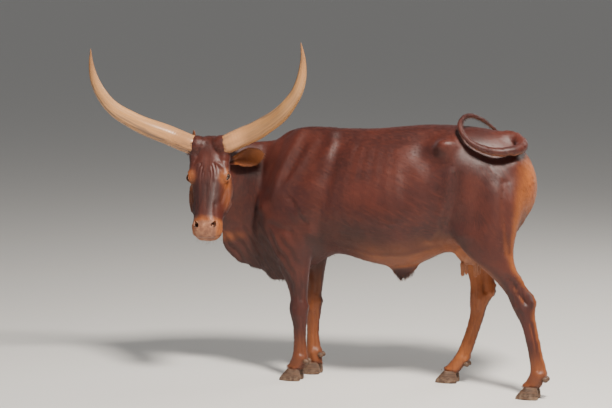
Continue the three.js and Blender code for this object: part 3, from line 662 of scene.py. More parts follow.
edges = edges_of(skin_quads)
x, y, z = skin_points.T
head_share = 1 - fade(0.30, 0.42, np.linalg.norm(skin_points - head_middle, axis=1))
dewlap_share = fade(0.03, -0.12, x) * (1 - fade(0.70, 0.84, z))
flap_share = (1 - fade(0.60, 0.64, z)) * (1 - fade(0.05, 0.09, np.abs(y))) * fade(0.38, 0.44, x) * (x < 0.7)
bulky = fade(0.60, 0.76, z) * (1 - head_share) * (1 - dewlap_share) * (1 - flap_share)
skin_points = ironed(skin_points, edges, 0.55 * bulky, 34)
around_brows = np.zeros(len(skin_points))
for side in (-1, 1):
    brow = head_point((side * 0.088, 0.204, -0.050))[0]
    from_brow = np.linalg.norm(skin_points - brow, axis=1)
    around_brows = np.maximum(around_brows, 1 - fade(0.045, 0.085, from_brow))
    root = head_point((side * 0.071, 0.060, -0.040))[0]
    from_root = np.linalg.norm(skin_points - root, axis=1)
    around_brows = np.maximum(around_brows, 0.7 - 0.7 * fade(0.06, 0.10, from_root))
skin_points = ironed(skin_points, edges, 0.5 * around_brows, 9)
skin_points = ironed(skin_points, edges, np.full(len(skin_points), 0.5), 5, back=1.02)
print("ironed; bulky share of the skin:", round(float(bulky.mean()), 2))

# %% [markdown]
# The legs and the front of the head need finer squares than the flanks. Each chosen square
# is cut in four. Blender's subdivide operator also closes the border to the coarser squares.

# %% Finer squares where the detail is
def as_faces(quads):
    """Rows of four as lists, with a repeated corner dropped."""
    return [list(dict.fromkeys(row)) for row in quads.tolist()]


def refined(points, quads, chosen):
    """The surface with the chosen quads cut in four, its border stitched, all as quads or triangles."""
    mesh = bpy.data.meshes.new("refining")
    mesh.from_pydata(points.tolist(), [], quads.tolist() if hasattr(quads, "tolist") else quads)
    work = bmesh.new()
    work.from_mesh(mesh)
    work.faces.ensure_lookup_table()
    cut = {edge for i in np.flatnonzero(chosen) for edge in work.faces[i].edges}
    bmesh.ops.subdivide_edges(work, edges=list(cut), cuts=1, use_grid_fill=True)
    many = [face for face in work.faces if len(face.verts) > 4]
    bmesh.ops.triangulate(work, faces=many)
    work.to_mesh(mesh)
    work.free()
    made = points_of(mesh), rows_of(mesh)
    bpy.data.meshes.remove(mesh)
    return made


middles = skin_points[skin_quads].mean(axis=1)
_, down_face, before_face = in_head(middles).T
on_leg = middles[:, 2] < 0.53
from_middle = np.linalg.norm(middles - head_middle, axis=1)
on_face = (from_middle < 0.262) & (down_face > 0.08) & (before_face > -0.115)
skin_points, skin_quads = refined(skin_points, skin_quads, on_leg | on_face)
print("after refining:", len(skin_points), "points,", len(skin_quads), "faces")

# %% [markdown]
# Under a sleek coat the light picks out bones, muscles and the hollows between them. Each is
# a line on her side, given in the (x, z) plane: where it runs, how wide it is and how far it
# lifts or sinks the skin. Both sides of her get the same ones. The lift falls off as a bell
# curve, and it fades where the surface turns away from the side.

# %% Muscles, bones and hollows
def from_line(points, line):
    """Distance from points to a polyline, both in the same number of dimensions."""
    line = np.asarray(line, float)
    if len(line) == 1:
        return np.linalg.norm(points - line[0], axis=1)
    nearest = np.full(len(points), np.inf)
    for a, b in zip(line[:-1], line[1:]):
        along = np.clip((points - a) @ (b - a) / max((b - a) @ (b - a), 1e-12), 0, 1)
        nearest = np.minimum(nearest, np.linalg.norm(points - a - along[:, None] * (b - a), axis=1))
    return nearest


side_forms = [
    ([(0.01, 1.365), (0.09, 1.372), (0.155, 1.335), (0.178, 1.27), (0.15, 1.20)], 0.030, 0.009),
    ([(-0.02, 1.31), (-0.085, 1.14), (-0.125, 0.98)], 0.026, 0.0075),
    ([(0.07, 1.26), (0.0, 1.12), (-0.075, 1.0)], 0.028, 0.005),
    ([(0.02, 1.24), (-0.045, 1.09)], 0.016, -0.004),
    ([(-0.10, 1.32), (-0.145, 1.18), (-0.185, 1.02)], 0.034, -0.0105),
    ([(0.225, 1.25), (0.195, 1.10), (0.165, 0.95), (0.135, 0.82)], 0.036, -0.0095),
    ([(0.10, 1.05), (0.04, 0.92)], 0.055, 0.010),
    ([(-0.02, 0.98), (0.06, 0.86)], 0.014, -0.006),
    ([(0.088, 0.80)], 0.032, 0.011),
    ([(-0.185, 0.92)], 0.045, 0.014),
    ([(-0.13, 0.84), (-0.02, 0.80)], 0.020, -0.006),
    ([(0.20, 1.300), (0.45, 1.296), (0.74, 1.305)], 0.020, -0.006),
    ([(0.20, 1.337), (0.45, 1.333), (0.72, 1.345)], 0.016, 0.003),
    ([(0.69, 1.235), (0.74, 1.20)], 0.060, -0.019),
    ([(0.80, 1.29), (0.855, 1.31)], 0.030, 0.009),
    ([(0.90, 1.26), (1.06, 1.23)], 0.045, -0.008),
    ([(0.845, 1.14), (0.825, 1.0), (0.775, 0.86), (0.735, 0.79)], 0.022, 0.009),
    ([(0.885, 1.13), (0.868, 1.0), (0.825, 0.87)], 0.020, -0.010),
    ([(0.895, 0.83)], 0.048, 0.012),
    ([(0.96, 0.78), (0.99, 0.72)], 0.030, -0.006),
    ([(1.12, 1.10), (1.128, 0.96), (1.142, 0.84), (1.15, 0.74)], 0.016, -0.008),
    ([(1.02, 1.16), (0.985, 1.0), (0.975, 0.88)], 0.026, -0.006),
    ([(1.07, 1.06), (1.07, 0.9)], 0.035, 0.005),
    ([(1.155, 1.185)], 0.034, 0.006),
    ([(0.24, 0.74), (0.42, 0.695), (0.60, 0.70), (0.76, 0.75)], 0.012, 0.004),
    ([(0.66, 0.78), (0.60, 0.95), (0.62, 1.12)], 0.05, -0.006),
    ([(0.268, 1.29), (0.262, 1.25)], 0.008, -0.004),
    ([(0.338, 1.29), (0.334, 1.24)], 0.008, -0.003),
]
ribs = [([(0.245 + 0.052 * k, 1.24), (0.225 + 0.058 * k, 1.08), (0.25 + 0.058 * k, 0.88)], 0.013, 0.0019)
        for k in range(7)]


def side_lift(points, normals):
    """The sum of the bells of all side forms, on the part of the surface that faces sideways."""
    outward = normals[:, 1] * np.sign(points[:, 1])
    facing = fade(0.15, 0.6, outward) * fade(0.62, 0.74, points[:, 2])
    facing *= 1 - fade(-0.20, -0.28, points[:, 0])
    lift = np.zeros(len(points))
    for line, width, height in side_forms + ribs:
        lift += height * np.exp(-(from_line(points[:, [0, 2]], line) / width) ** 2)
    return lift * facing


skin_normals = normals_of(skin_points, skin_quads)
lift = side_lift(skin_points, skin_normals)
skin_points = skin_points + lift[:, None] * skin_normals
print("sides lifted by", round(float(lift.min()), 4), "to", round(float(lift.max()), 4))

# %% [markdown]
# Below the knee and the hock there is hardly any flesh: the skin follows bone and tendon. A
# leg's forms are given as an angle round it, with 0 ahead and 180 behind, and heights.

# %% Bones and tendons of the legs
fore_forms = [
    ([(128, 0.34), (125, 0.24), (122, 0.15)], 0.007, -0.0055),
    ([(165, 0.33), (165, 0.16)], 0.010, 0.0030),
    ([(62, 0.33), (60, 0.16)], 0.008, -0.0020),
    ([(0, 0.405), (0, 0.365)], 0.018, 0.0050),
    ([(90, 0.425)], 0.016, 0.0040),
    ([(95, 0.355)], 0.015, 0.0040),
    ([(172, 0.40)], 0.018, 0.0060),
    ([(75, 0.39)], 0.009, -0.0035),
    ([(125, 0.44), (115, 0.60)], 0.011, -0.0055),
    ([(55, 0.46), (50, 0.62)], 0.012, -0.0040),
    ([(90, 0.122)], 0.017, 0.0035),
    ([(150, 0.128)], 0.014, 0.0045),
    ([(0, 0.088), (70, 0.082)], 0.010, -0.0025),
    ([(0, 0.070), (90, 0.070)], 0.007, 0.0014),
]
hind_forms = [
    ([(132, 0.50), (125, 0.56), (118, 0.62)], 0.014, -0.0150),
    ([(170, 0.62), (172, 0.50)], 0.012, 0.0060),
    ([(75, 0.60), (72, 0.50)], 0.006, 0.0030),
    ([(178, 0.485)], 0.020, 0.0080),
    ([(95, 0.455)], 0.017, 0.0055),
    ([(40, 0.475)], 0.016, 0.0040),
    ([(65, 0.49), (70, 0.43)], 0.008, -0.0040),
    ([(122, 0.39), (122, 0.26), (120, 0.15)], 0.008, -0.0065),
    ([(165, 0.39), (165, 0.17)], 0.010, 0.0030),
    ([(60, 0.38), (60, 0.17)], 0.008, -0.0020),
    ([(90, 0.128)], 0.017, 0.0035),
    ([(150, 0.132)], 0.014, 0.0045),
    ([(0, 0.090), (70, 0.084)], 0.010, -0.0025),
    ([(0, 0.070), (90, 0.070)], 0.007, 0.0014),
]


def leg_of(points):
    """The name of the leg that each point is nearest to, as a number in the order of `legs`."""
    across = [np.linalg.norm(points[:, :2] - np.stack(leg_sizes(name, points[:, 2])[:2], axis=1), axis=1)
              for name in legs]
    return np.argmin(across, axis=0)


def leg_lift(points):
    """The sum of the bells of a leg's forms, with angle times mean radius as distance round it."""
    which = leg_of(points)
    lift = np.zeros(len(points))
    for number, name in enumerate(legs):
        here = (which == number) & (points[:, 2] < 0.68) & (points[:, 2] > 0.05)
        mine = points[here]
        leg_x, leg_y, ahead, behind, half, _ = leg_sizes(name, mine[:, 2])
        angle = np.degrees(np.arctan2(np.abs(mine[:, 1] - leg_y), leg_x - mine[:, 0]))
        radius = (ahead + behind + 2 * half) / 4
        flat = np.stack([np.radians(angle) * radius, mine[:, 2]], axis=1)
        forms = fore_forms if "fore" in name else hind_forms
        total = np.zeros(len(mine))
        for line, width, height in forms:
            spot = [(np.radians(a) * float(np.interp(h, mine[:, 2][order], radius[order])), h)
                    for order in [np.argsort(mine[:, 2])] for a, h in line]
            total += height * np.exp(-(from_line(flat, spot) / width) ** 2)
        lift[here] = total * (1 - fade(0.62, 0.68, mine[:, 2]))
    return lift


skin_normals = normals_of(skin_points, skin_quads)
lift = leg_lift(skin_points)
skin_points = skin_points + lift[:, None] * skin_normals
print("legs lifted by", round(float(lift.min()), 4), "to", round(float(lift.max()), 4))

# %% [markdown]
# Folds of loose skin hang from the throat to the brisket. They follow the dewlap's edge and
# wander a little, so a sine of the distance behind the edge, bent by a second sine, draws
# them. The same kind of wave makes the creases on the inside of the neck's bend.

# %% Folds of the dewlap and the neck
def fold_lift(points, normals):
    """Waves along the dewlap and across the bent neck, each within a soft patch."""
    px, py, pz = points.T
    steep = fade(0.25, 0.7, np.abs(normals[:, 1]) + 0.7 * np.abs(normals[:, 0]))
    dewlap = fade(0.10, -0.08, px) * fade(0.46, 0.55, pz) * (1 - fade(0.72, 0.86, pz))
    dewlap *= np.linalg.norm(points - head_middle, axis=1) > 0.30
    wander = 0.35 * np.sin(17 * pz + 1.3) + 0.25 * np.sin(41 * px + 2 * np.sin(23 * pz))
    waves = np.sin(2 * np.pi * (px * 0.85 + pz * 0.45) / 0.052 + 3.0 * wander)
    lift = 0.0042 * dewlap * steep * waves
    neck_patch = fade(-0.17, -0.26, px) * fade(0.80, 0.92, pz) * (1 - fade(1.18, 1.30, pz))
    neck_patch *= fade(0.30, 0.38, np.linalg.norm(points - head_middle, axis=1))
    inside = fade(0.1, 0.6, -normals[:, 1] + 0.3 * normals[:, 0])
    creases = np.sin(2 * np.pi * (px + 0.10 * np.sin(9 * pz)) / 0.036)
    return lift + 0.0017 * neck_patch * inside * creases


skin_normals = normals_of(skin_points, skin_quads)
lift = fold_lift(skin_points, skin_normals)
skin_points = skin_points + lift[:, None] * skin_normals
print("folds lifted by", round(float(lift.min()), 4), "to", round(float(lift.max()), 4))

# %% [markdown]
# The head's forms are lines in its own frame: left of the middle, down the face, out of the
# face. A mirrored pair is written once. The bone above the eye, the hollow behind it, the
# heavy cheek muscle, the crest that runs from it to the muzzle, and the slit of the mouth.

# %% Bones and folds of the head
lips = head_point((0.0, 0.505, -0.075))[0]
middles = skin_points[skin_quads].mean(axis=1)
skin_points, skin_quads = refined(
    skin_points, as_faces(skin_quads), np.linalg.norm(middles - lips, axis=1) < 0.056)
mouth_line = [(0.082, 0.418, -0.116), (0.080, 0.450, -0.108), (0.074, 0.482, -0.098), (0.058, 0.508, -0.088),
              (0.030, 0.523, -0.079), (0.0, 0.526, -0.075)]
head_forms = [
    ([(0.060, 0.150, -0.012), (0.092, 0.178, -0.026), (0.106, 0.206, -0.034)], 0.015, 0.0060),
    ([(0.092, 0.145, -0.075)], 0.026, -0.0030),
    ([(0.098, 0.105, -0.140)], 0.040, 0.0030),
    ([(0.096, 0.268, -0.060), (0.082, 0.335, -0.048)], 0.016, -0.0080),
    ([(0.104, 0.250, -0.092), (0.097, 0.315, -0.098), (0.086, 0.375, -0.090)], 0.011, 0.0085),
    ([(0.096, 0.235, -0.170), (0.096, 0.195, -0.150)], 0.042, 0.0105),
    ([(0.098, 0.298, -0.140), (0.092, 0.306, -0.205)], 0.013, -0.0090),
    ([(0.096, 0.170, -0.195), (0.092, 0.260, -0.226)], 0.015, 0.0050),
    ([(0.094, 0.330, -0.125), (0.088, 0.390, -0.115)], 0.016, -0.0045),
    ([(0.054, 0.365, -0.014), (0.064, 0.420, -0.024)], 0.013, -0.0085),
    ([(0.050, 0.235, 0.000), (0.044, 0.330, -0.003), (0.036, 0.410, -0.006)], 0.011, 0.0042),
    ([(0.000, 0.270, 0.0), (0.000, 0.400, 0.0)], 0.016, -0.0018),
    ([(0.000, 0.120, 0.0), (0.000, 0.200, 0.0)], 0.038, -0.0050),
    ([(0.000, 0.045, 0.0)], 0.050, 0.0060),
    ([(0.030, 0.020, -0.010)], 0.022, 0.0035),
    ([(0.068, 0.468, -0.040)], 0.018, 0.0060),
    ([(0.028, 0.446, -0.010)], 0.014, 0.0025),
    ([(0.080, 0.452, -0.086), (0.070, 0.492, -0.090)], 0.017, 0.0045),
    ([(0.000, 0.462, -0.014), (0.000, 0.514, -0.046)], 0.0040, -0.0030),
    (mouth_line, 0.0036, -0.0085),
    ([(0.080, 0.440, -0.122), (0.074, 0.490, -0.112), (0.030, 0.526, -0.100), (0.0, 0.528, -0.098)],
     0.010, 0.0050),
    ([(0.062, 0.500, -0.070), (0.030, 0.520, -0.056), (0.0, 0.524, -0.054)], 0.010, 0.0028),
    ([(0.000, 0.505, -0.130)], 0.030, 0.0060),
    ([(0.086, 0.405, -0.095), (0.084, 0.432, -0.092)], 0.006, -0.0030),
    ([(0.110, 0.236, -0.078), (0.104, 0.262, -0.078)], 0.005, -0.0030),
    ([(0.104, 0.250, -0.062), (0.094, 0.278, -0.056)], 0.005, -0.0026),
]
wrinkles = [
    ([(0.014, 0.196, 0.0), (0.017, 0.222, 0.0), (0.013, 0.246, 0.0)], 0.0042, -0.0016),
    ([(0.024, 0.166, 0.0), (0.031, 0.205, 0.0), (0.027, 0.268, 0.0)], 0.0048, -0.0030),
    ([(0.035, 0.150, -0.002), (0.046, 0.182, -0.002), (0.049, 0.235, 0.0), (0.041, 0.298, 0.0)],
     0.0050, -0.0046),
    ([(0.052, 0.158, -0.006), (0.062, 0.180, -0.008), (0.066, 0.218, -0.006), (0.058, 0.250, -0.004)],
     0.0045, -0.0040),
    ([(0.066, 0.138, -0.014), (0.077, 0.160, -0.018)], 0.0045, -0.0022),
    ([(0.080, 0.268, -0.030), (0.070, 0.292, -0.020)], 0.0050, -0.0022),
]


def head_lift(points):
    """The sum of the bells of the head's forms and of their mirror images."""
    mine = in_head(points)
    mine[:, 0] = np.abs(mine[:, 0])
    near = np.linalg.norm(points - head_middle, axis=1) < 0.40
    lift = np.zeros(len(points))
    for line, width, height in head_forms + wrinkles:
        lift[near] += height * np.exp(-(from_line(mine[near], line) / width) ** 2)
    return lift


skin_normals = normals_of(skin_points, skin_quads)
lift = head_lift(skin_points)
skin_points = skin_points + lift[:, None] * skin_normals
print("head lifted by", round(float(lift.min()), 4), "to", round(float(lift.max()), 4))

# %% [markdown]
# Lids and nostrils need clean rims, which no even net of squares can give. So the squares in
# an oval are taken out, the edge that is left is followed round once, and new rings of the
# same number of points lead from it over the rim and inwards, to a fan that closes them.

# %% Openings with a shaped rim
def boundary_of(faces):
    """The directed edge loop round a patch of faces, as point numbers in order."""
    pairs = np.vstack([faces[:, [i, (i + 1) % 4]] for i in range(4)])
    pairs = pairs[pairs[:, 0] != pairs[:, 1]]
    present = {(a, b) for a, b in pairs.tolist()}
    onward = {a: b for a, b in present if (b, a) not in present}
    loop = [next(iter(sorted(onward)))]
    while onward[loop[-1]] != loop[0]:
        loop.append(onward[loop[-1]])
    return np.array(loop)


def opened(points, faces, middle, axes, oval, rings_from):
    """The surface with an oval opening at `middle`, whose rings `rings_from` makes.

    `axes` has rows u, v and outward; `oval` is the patch's half sizes along u and v.
    `rings_from(angle, edge)` gets the edge loop in (u, v, outward) and gives the rings inwards.
    """
    local = (points - middle) @ axes.T
    inside = (local[:, 0] / oval[0]) ** 2 + (local[:, 1] / oval[1]) ** 2 < 1
    inside &= local[:, 2] > -0.045
    chosen = inside[faces].all(axis=1)
    loop = boundary_of(faces[chosen])
    edge = local[loop]
    angle = np.arctan2(edge[:, 1] / oval[1], edge[:, 0] / oval[0])
    rings = rings_from(angle, edge)
    count, start = len(loop), len(points)
    new_points = np.vstack(rings + [rings[-1].mean(axis=0)[None]]) @ axes + middle
    rows = [loop] + [start + k * count + np.arange(count) for k in range(len(rings))]
    made = [np.stack([a, np.roll(a, -1), np.roll(b, -1), b], axis=1) for a, b in zip(rows, rows[1:])]
    tip = np.full(count, start + len(rings) * count)
    made.append(np.stack([rows[-1], np.roll(rows[-1], -1), tip, tip], axis=1))
    points = np.vstack([points, new_points])
    faces = np.vstack([faces[~chosen]] + made)
    used = np.zeros(len(points), bool)
    used[faces] = True
    return points[used], (np.cumsum(used) - 1)[faces]


def frame_on_head(side, outward, along):
    """Axes u, v, outward of a place on the head: u near `along`, all mirrored for the right side."""
    mirror = np.array([side, 1.0, 1.0])
    outward = np.asarray(outward, float)
    outward /= np.linalg.norm(outward)
    u = np.asarray(along, float)
    u = u - (u @ outward) * outward
    u /= np.linalg.norm(u)
    v = np.cross(outward, u)
    v *= np.sign(v[2])
    return (np.array([u, v, outward]) * mirror) @ head_frame


print("an opening's frame on the left cheek:", np.round(frame_on_head(1, (1, 0, 0), (0, 1, 0))[2], 2))

# %% [markdown]
# The lids lie on a ball a little larger than the eye. Their edge is an almond; outside it
# comes the roll of the lid, a groove, and the slope up to the bone. Inside it the skin turns
# in behind the front of the eye, so that no light shows between the two.

# %% Eyelids
eye_radius = 0.0203
eye_middle = {side: head_point((side * 0.090, 0.212, -0.047))[0] for side in (-1, 1)}
eye_axes = {side: frame_on_head(side, (0.82, -0.02, 0.56), (0.0, 0.96, 0.26)) for side in (-1, 1)}
almond_half, almond_up, almond_down = 0.0205, 0.0118, 0.0096


def almond(angle, scale, radius):
    """A ring of the almond, `scale` times its size, on a ball of the given radius round the eye."""
    turn = np.sin(angle)
    u = almond_half * scale * np.cos(angle) + 0.003 * np.clip(np.cos(angle), 0, 1) ** 6
    v = np.where(turn > 0, almond_up, almond_down) * scale * turn * np.abs(turn) ** 0.3
    w = np.sqrt(np.maximum(radius**2 - u**2 - v**2, 0.003**2))
    return np.stack([u, v, w], axis=1)


def lid_rings(angle, edge):
    """Slope, groove, roll, rim and tucked inside of the lids, from the edge loop inwards."""
    roll = almond(angle, 1.22, 0.0272)
    upper = fade(-0.2, 0.5, np.sin(angle))
    rings = []
    for share, lift in ((0.86, 0.0006), (0.70, 0.0014), (0.56, 0.0004), (0.43, -0.0026), (0.31, 0.0008),
                        (0.15, 0.0018)):
        s = share * share * (3 - 2 * share)
        ring = roll + (edge - roll) * s
        ring[:, 2] += lift * (0.6 + 0.7 * upper)
        rings.append(ring)
    rings += [almond(angle, scale, radius) for scale, radius in (
        (1.22, 0.0272), (1.10, 0.0261), (1.03, 0.0247), (1.00, 0.0230), (0.99, 0.0213), (1.03, 0.0192),
        (0.85, 0.0140))]
    return rings


def finer_round(points, faces, middle, radius):
    """The surface with the squares within `radius` of `middle` cut in four."""
    near = np.linalg.norm(points[faces].mean(axis=1) - middle, axis=1) < radius
    return refined(points, as_faces(faces), near)


for side in (-1, 1):
    skin_points, skin_quads = opened(
        skin_points, skin_quads, eye_middle[side], eye_axes[side], (0.033, 0.025), lid_rings)
print("with lids:", len(skin_points), "points")

# %% [markdown]
# A cow's nostril is a comma: a round hole low down and near the middle, and a slit that runs
# up and out from it. Its wing is a soft roll, and the hole goes deep, with shade also painted
# dark inside it by the markings.

# %% Nostrils
nostril_place = (0.050, 0.468, -0.016)


def nostril_rings(angle, edge):
    """Roll, rim and deepening walls of a nostril, from the edge loop inwards."""
    def comma(scale, depth):
        tail = np.clip(np.cos(angle), 0, 1) ** 3
        u = scale * (0.0140 * np.cos(angle) + 0.0060 * tail)
        v = scale * (0.0100 * np.sin(angle) + 0.0046 * tail)
        return np.stack([u, v, np.full_like(u, depth)], axis=1)

    level = float(edge[:, 2].mean())
    rim = comma(1.12, 0.0)
    rim[:, 2] = edge[:, 2]
    rings = []
    for share, lift in ((0.75, 0.0008), (0.50, 0.0020), (0.25, 0.0026)):
        ring = rim + (edge - rim) * share
        ring[:, 2] += lift
        rings.append(ring)
    rim = rim + [0, 0, 0.0014]
    inner = comma(0.98, 0.0)
    inner[:, 2] = edge[:, 2] - 0.002
    rings += [rim, inner, comma(0.90, level - 0.008), comma(0.84, level - 0.016), comma(0.7, level - 0.026)]
    return rings


def nostril_axes(side):
    """Up and out along the slit, across it, and outward."""
    return frame_on_head(side, (0.50, 0.10, 0.84), (0.62, -0.72, 0.0))


for side in (-1, 1):
    middle = head_point(np.array(nostril_place) * (side, 1, 1))[0]
    axes = nostril_axes(side)
    skin_points, skin_quads = finer_round(skin_points, skin_quads, middle, 0.030)
    skin_points, skin_quads = opened(skin_points, skin_quads, middle, axes, (0.0235, 0.0190), nostril_rings)
print("with nostrils:", len(skin_points), "points")

# %% [markdown]
# An ear is a leaf rolled into a stalk. Its width and its cup come from stations along it. The
# inside carries a few low ridges, and the rim is thin.

# %% Ears
ear_length = 0.182
ear_stations = [(0.00, 0.019, 0.020), (0.16, 0.025, 0.024), (0.36, 0.042, 0.020), (0.56, 0.049, 0.014),
                (0.76, 0.042, 0.009), (0.92, 0.023, 0.004), (1.00, 0.005, 0.001)]
ears = {
    "left": ((0.092, 0.106, -0.118), (0.94, -0.28, -0.24), (0.20, 0.25, 0.95)),
    "right": ((-0.092, 0.096, -0.118), (-0.16, -0.95, -0.26), (-0.85, 0.05, 0.40)),
}


def ear_axes(name):
    """Root, and the rows along, width and hollow, of an ear."""
    root, along, towards = ears[name]
    along = np.asarray(along) @ head_frame
    along /= np.linalg.norm(along)
    width = np.cross(along, np.asarray(towards) @ head_frame)
    width /= np.linalg.norm(width)
    return head_point(root)[0], np.array([along, width, np.cross(width, along)])


def ear_leaf(name):
    """Rings round the leaf: across its inside, then back across its outside."""
    root, (along, width, hollow) = ear_axes(name)
    share = np.linspace(-0.10, 1, 38)
    half, cup = smooth_run(ear_stations, share).T
    across = np.sin(np.linspace(-np.pi / 2, np.pi / 2, 15))
    a = np.concatenate([across, across[::-1]])
    inner = np.repeat([1.0, -1.0], 15)
    thick = 0.0038 * (1 - 0.72 * a * a)
    ridges = 0.0014 * np.cos(4.5 * np.pi * a) * (inner > 0) * (1 - a * a)
    bow = 0.010 * np.sin(np.pi * np.clip(share, 0, 1)) ** 2
    rings = (
        root
        + (share * ear_length)[:, None, None] * along
        + (half[:, None] * a)[..., None] * width
        + (cup[:, None] * a * a + inner * thick - bow[:, None] + ridges * np.clip(share, 0, 1)[:, None])[
            ..., None] * hollow
    )
    return closed_tube(rings)


print("ears:", ear_length, "m long")

# %% [markdown]
# Ears, tail and teats are joined to the skin by a Boolean, because a Remesh would lose their
# thin rims. The seam is then ironed over a narrow band, so that it cannot be seen.

# %% One closed skin with ears, tail and teats
def thing_from(name, points, faces):
    """An object in the scene from points and faces."""
    mesh = bpy.data.meshes.new(name)
    mesh.from_pydata(points.tolist(), [], faces)
    thing = bpy.data.objects.new(name, mesh)
    bpy.context.collection.objects.link(thing)
    return thing


def teat(x, y):
    """A blunt cone that hangs from the udder."""
    z = np.linspace(0.594, 0.668, 14)
    radius = smooth_run([(0.592, 0.004), (0.600, 0.0085), (0.628, 0.0105), (0.668, 0.0160)], z)[:, 0]
    turn = np.linspace(2 * np.pi, 0, 14, endpoint=False)
    return closed_tube(np.stack([
        x + radius[:, None] * np.cos(turn),
        y + radius[:, None] * np.sin(turn),
        z[:, None] + 0 * turn,
    ], axis=-1))


added_forms = [ear_leaf("left"), ear_leaf("right"), tail_tube(0.02, 1.0, 190, 14),
               *(teat(x, s * y) for x, y in ((0.872, 0.036), (0.940, 0.032)) for s in (-1, 1))]


def joined_skin(points, quads):
    """The skin with ears, tail and teats united to it; its points, its faces as rows of four."""
    body = thing_from("skin_form", points, as_faces(quads))
    others = [thing_from(f"form_{k}", *form) for k, form in enumerate(added_forms)]
    for other in others:
        union = body.modifiers.new(other.name, "BOOLEAN")
        union.operation = "UNION"
        union.solver = "EXACT"
        union.object = other
    bpy.context.view_layer.update()
    mesh = evaluated(body)
    for thing in [body, *others]:
        bpy.data.objects.remove(thing)
    work = bmesh.new()
    work.from_mesh(mesh)
    bmesh.ops.triangulate(work, faces=[f for f in work.faces if len(f.verts) > 4])
    work.to_mesh(mesh)
    work.free()
    return points_of(mesh), rows_of(mesh)


def row_edges(rows):
    """Each edge once, of rows of four that may repeat a corner."""
    pairs = np.vstack([rows[:, [i, (i + 1) % 4]] for i in range(4)])
    pairs = np.sort(pairs[pairs[:, 0] != pairs[:, 1]], axis=1)
    return np.unique(pairs, axis=0)


def as_keys(points):
    """Each point rounded to a hundredth of a millimetre, as one value that can be looked up."""
    rounded = np.ascontiguousarray(np.round(points, 5) + 0.0)
    return rounded.view([("", float)] * 3).ravel()


before = as_keys(np.vstack([skin_points, *(form[0] for form in added_forms)]))
skin_points, skin_quads = joined_skin(skin_points, skin_quads)
seam = (~np.isin(as_keys(skin_points), before)).astype(float)
edges = row_edges(skin_quads)
for _ in range(4):
    spread = seam.copy()
    np.maximum.at(spread, edges[:, 0], 0.72 * seam[edges[:, 1]])
    np.maximum.at(spread, edges[:, 1], 0.72 * seam[edges[:, 0]])
    seam = spread
skin_points = ironed(skin_points, edges, 0.7 * seam, 12)
print("one skin:", len(skin_points), "points,", len(skin_quads), "faces,",
      int((seam > 0.9).sum()), "on the seams")

# %% [markdown]
# Her coat changes colour by place: mahogany over the back and sides, tan on the inner legs,
# round the eyes and the muzzle and below the tail, paler on the backs of the thighs as painted
# light, darker down the nose bridge and low on the legs, and near black where shade is painted:
# on the chest, in the mouth, the nostrils and the lids. A mask is a number from 0 to 1 at each
# point. Skin and coat ask the same function, so they agree.

# %% Markings
def near(points, middle, inner, outer):
    """1 within `inner` of a place, 0 beyond `outer`, smooth between."""
    return 1 - fade(inner, outer, np.linalg.norm(points - np.asarray(middle), axis=1))


def on_ear(points, name):
    """1 on an ear's leaf: near its cupped sheet and past its root; and the ear's own places."""
    root, axes = ear_axes(name)
    mine = (points - root) @ axes.T
    share = np.clip(mine[:, 0] / ear_length, 0, 1)
    half, cup = smooth_run(ear_stations, share).T
    across = mine[:, 1] / half
    sheet = cup * across**2 - 0.010 * np.sin(np.pi * share) ** 2
    leaf = fade(0.010, 0.030, mine[:, 0]) * (mine[:, 0] < 0.19) * (np.abs(across) < 1.15)
    return leaf * (1 - fade(0.007, 0.011, np.abs(mine[:, 2] - sheet))), mine, across


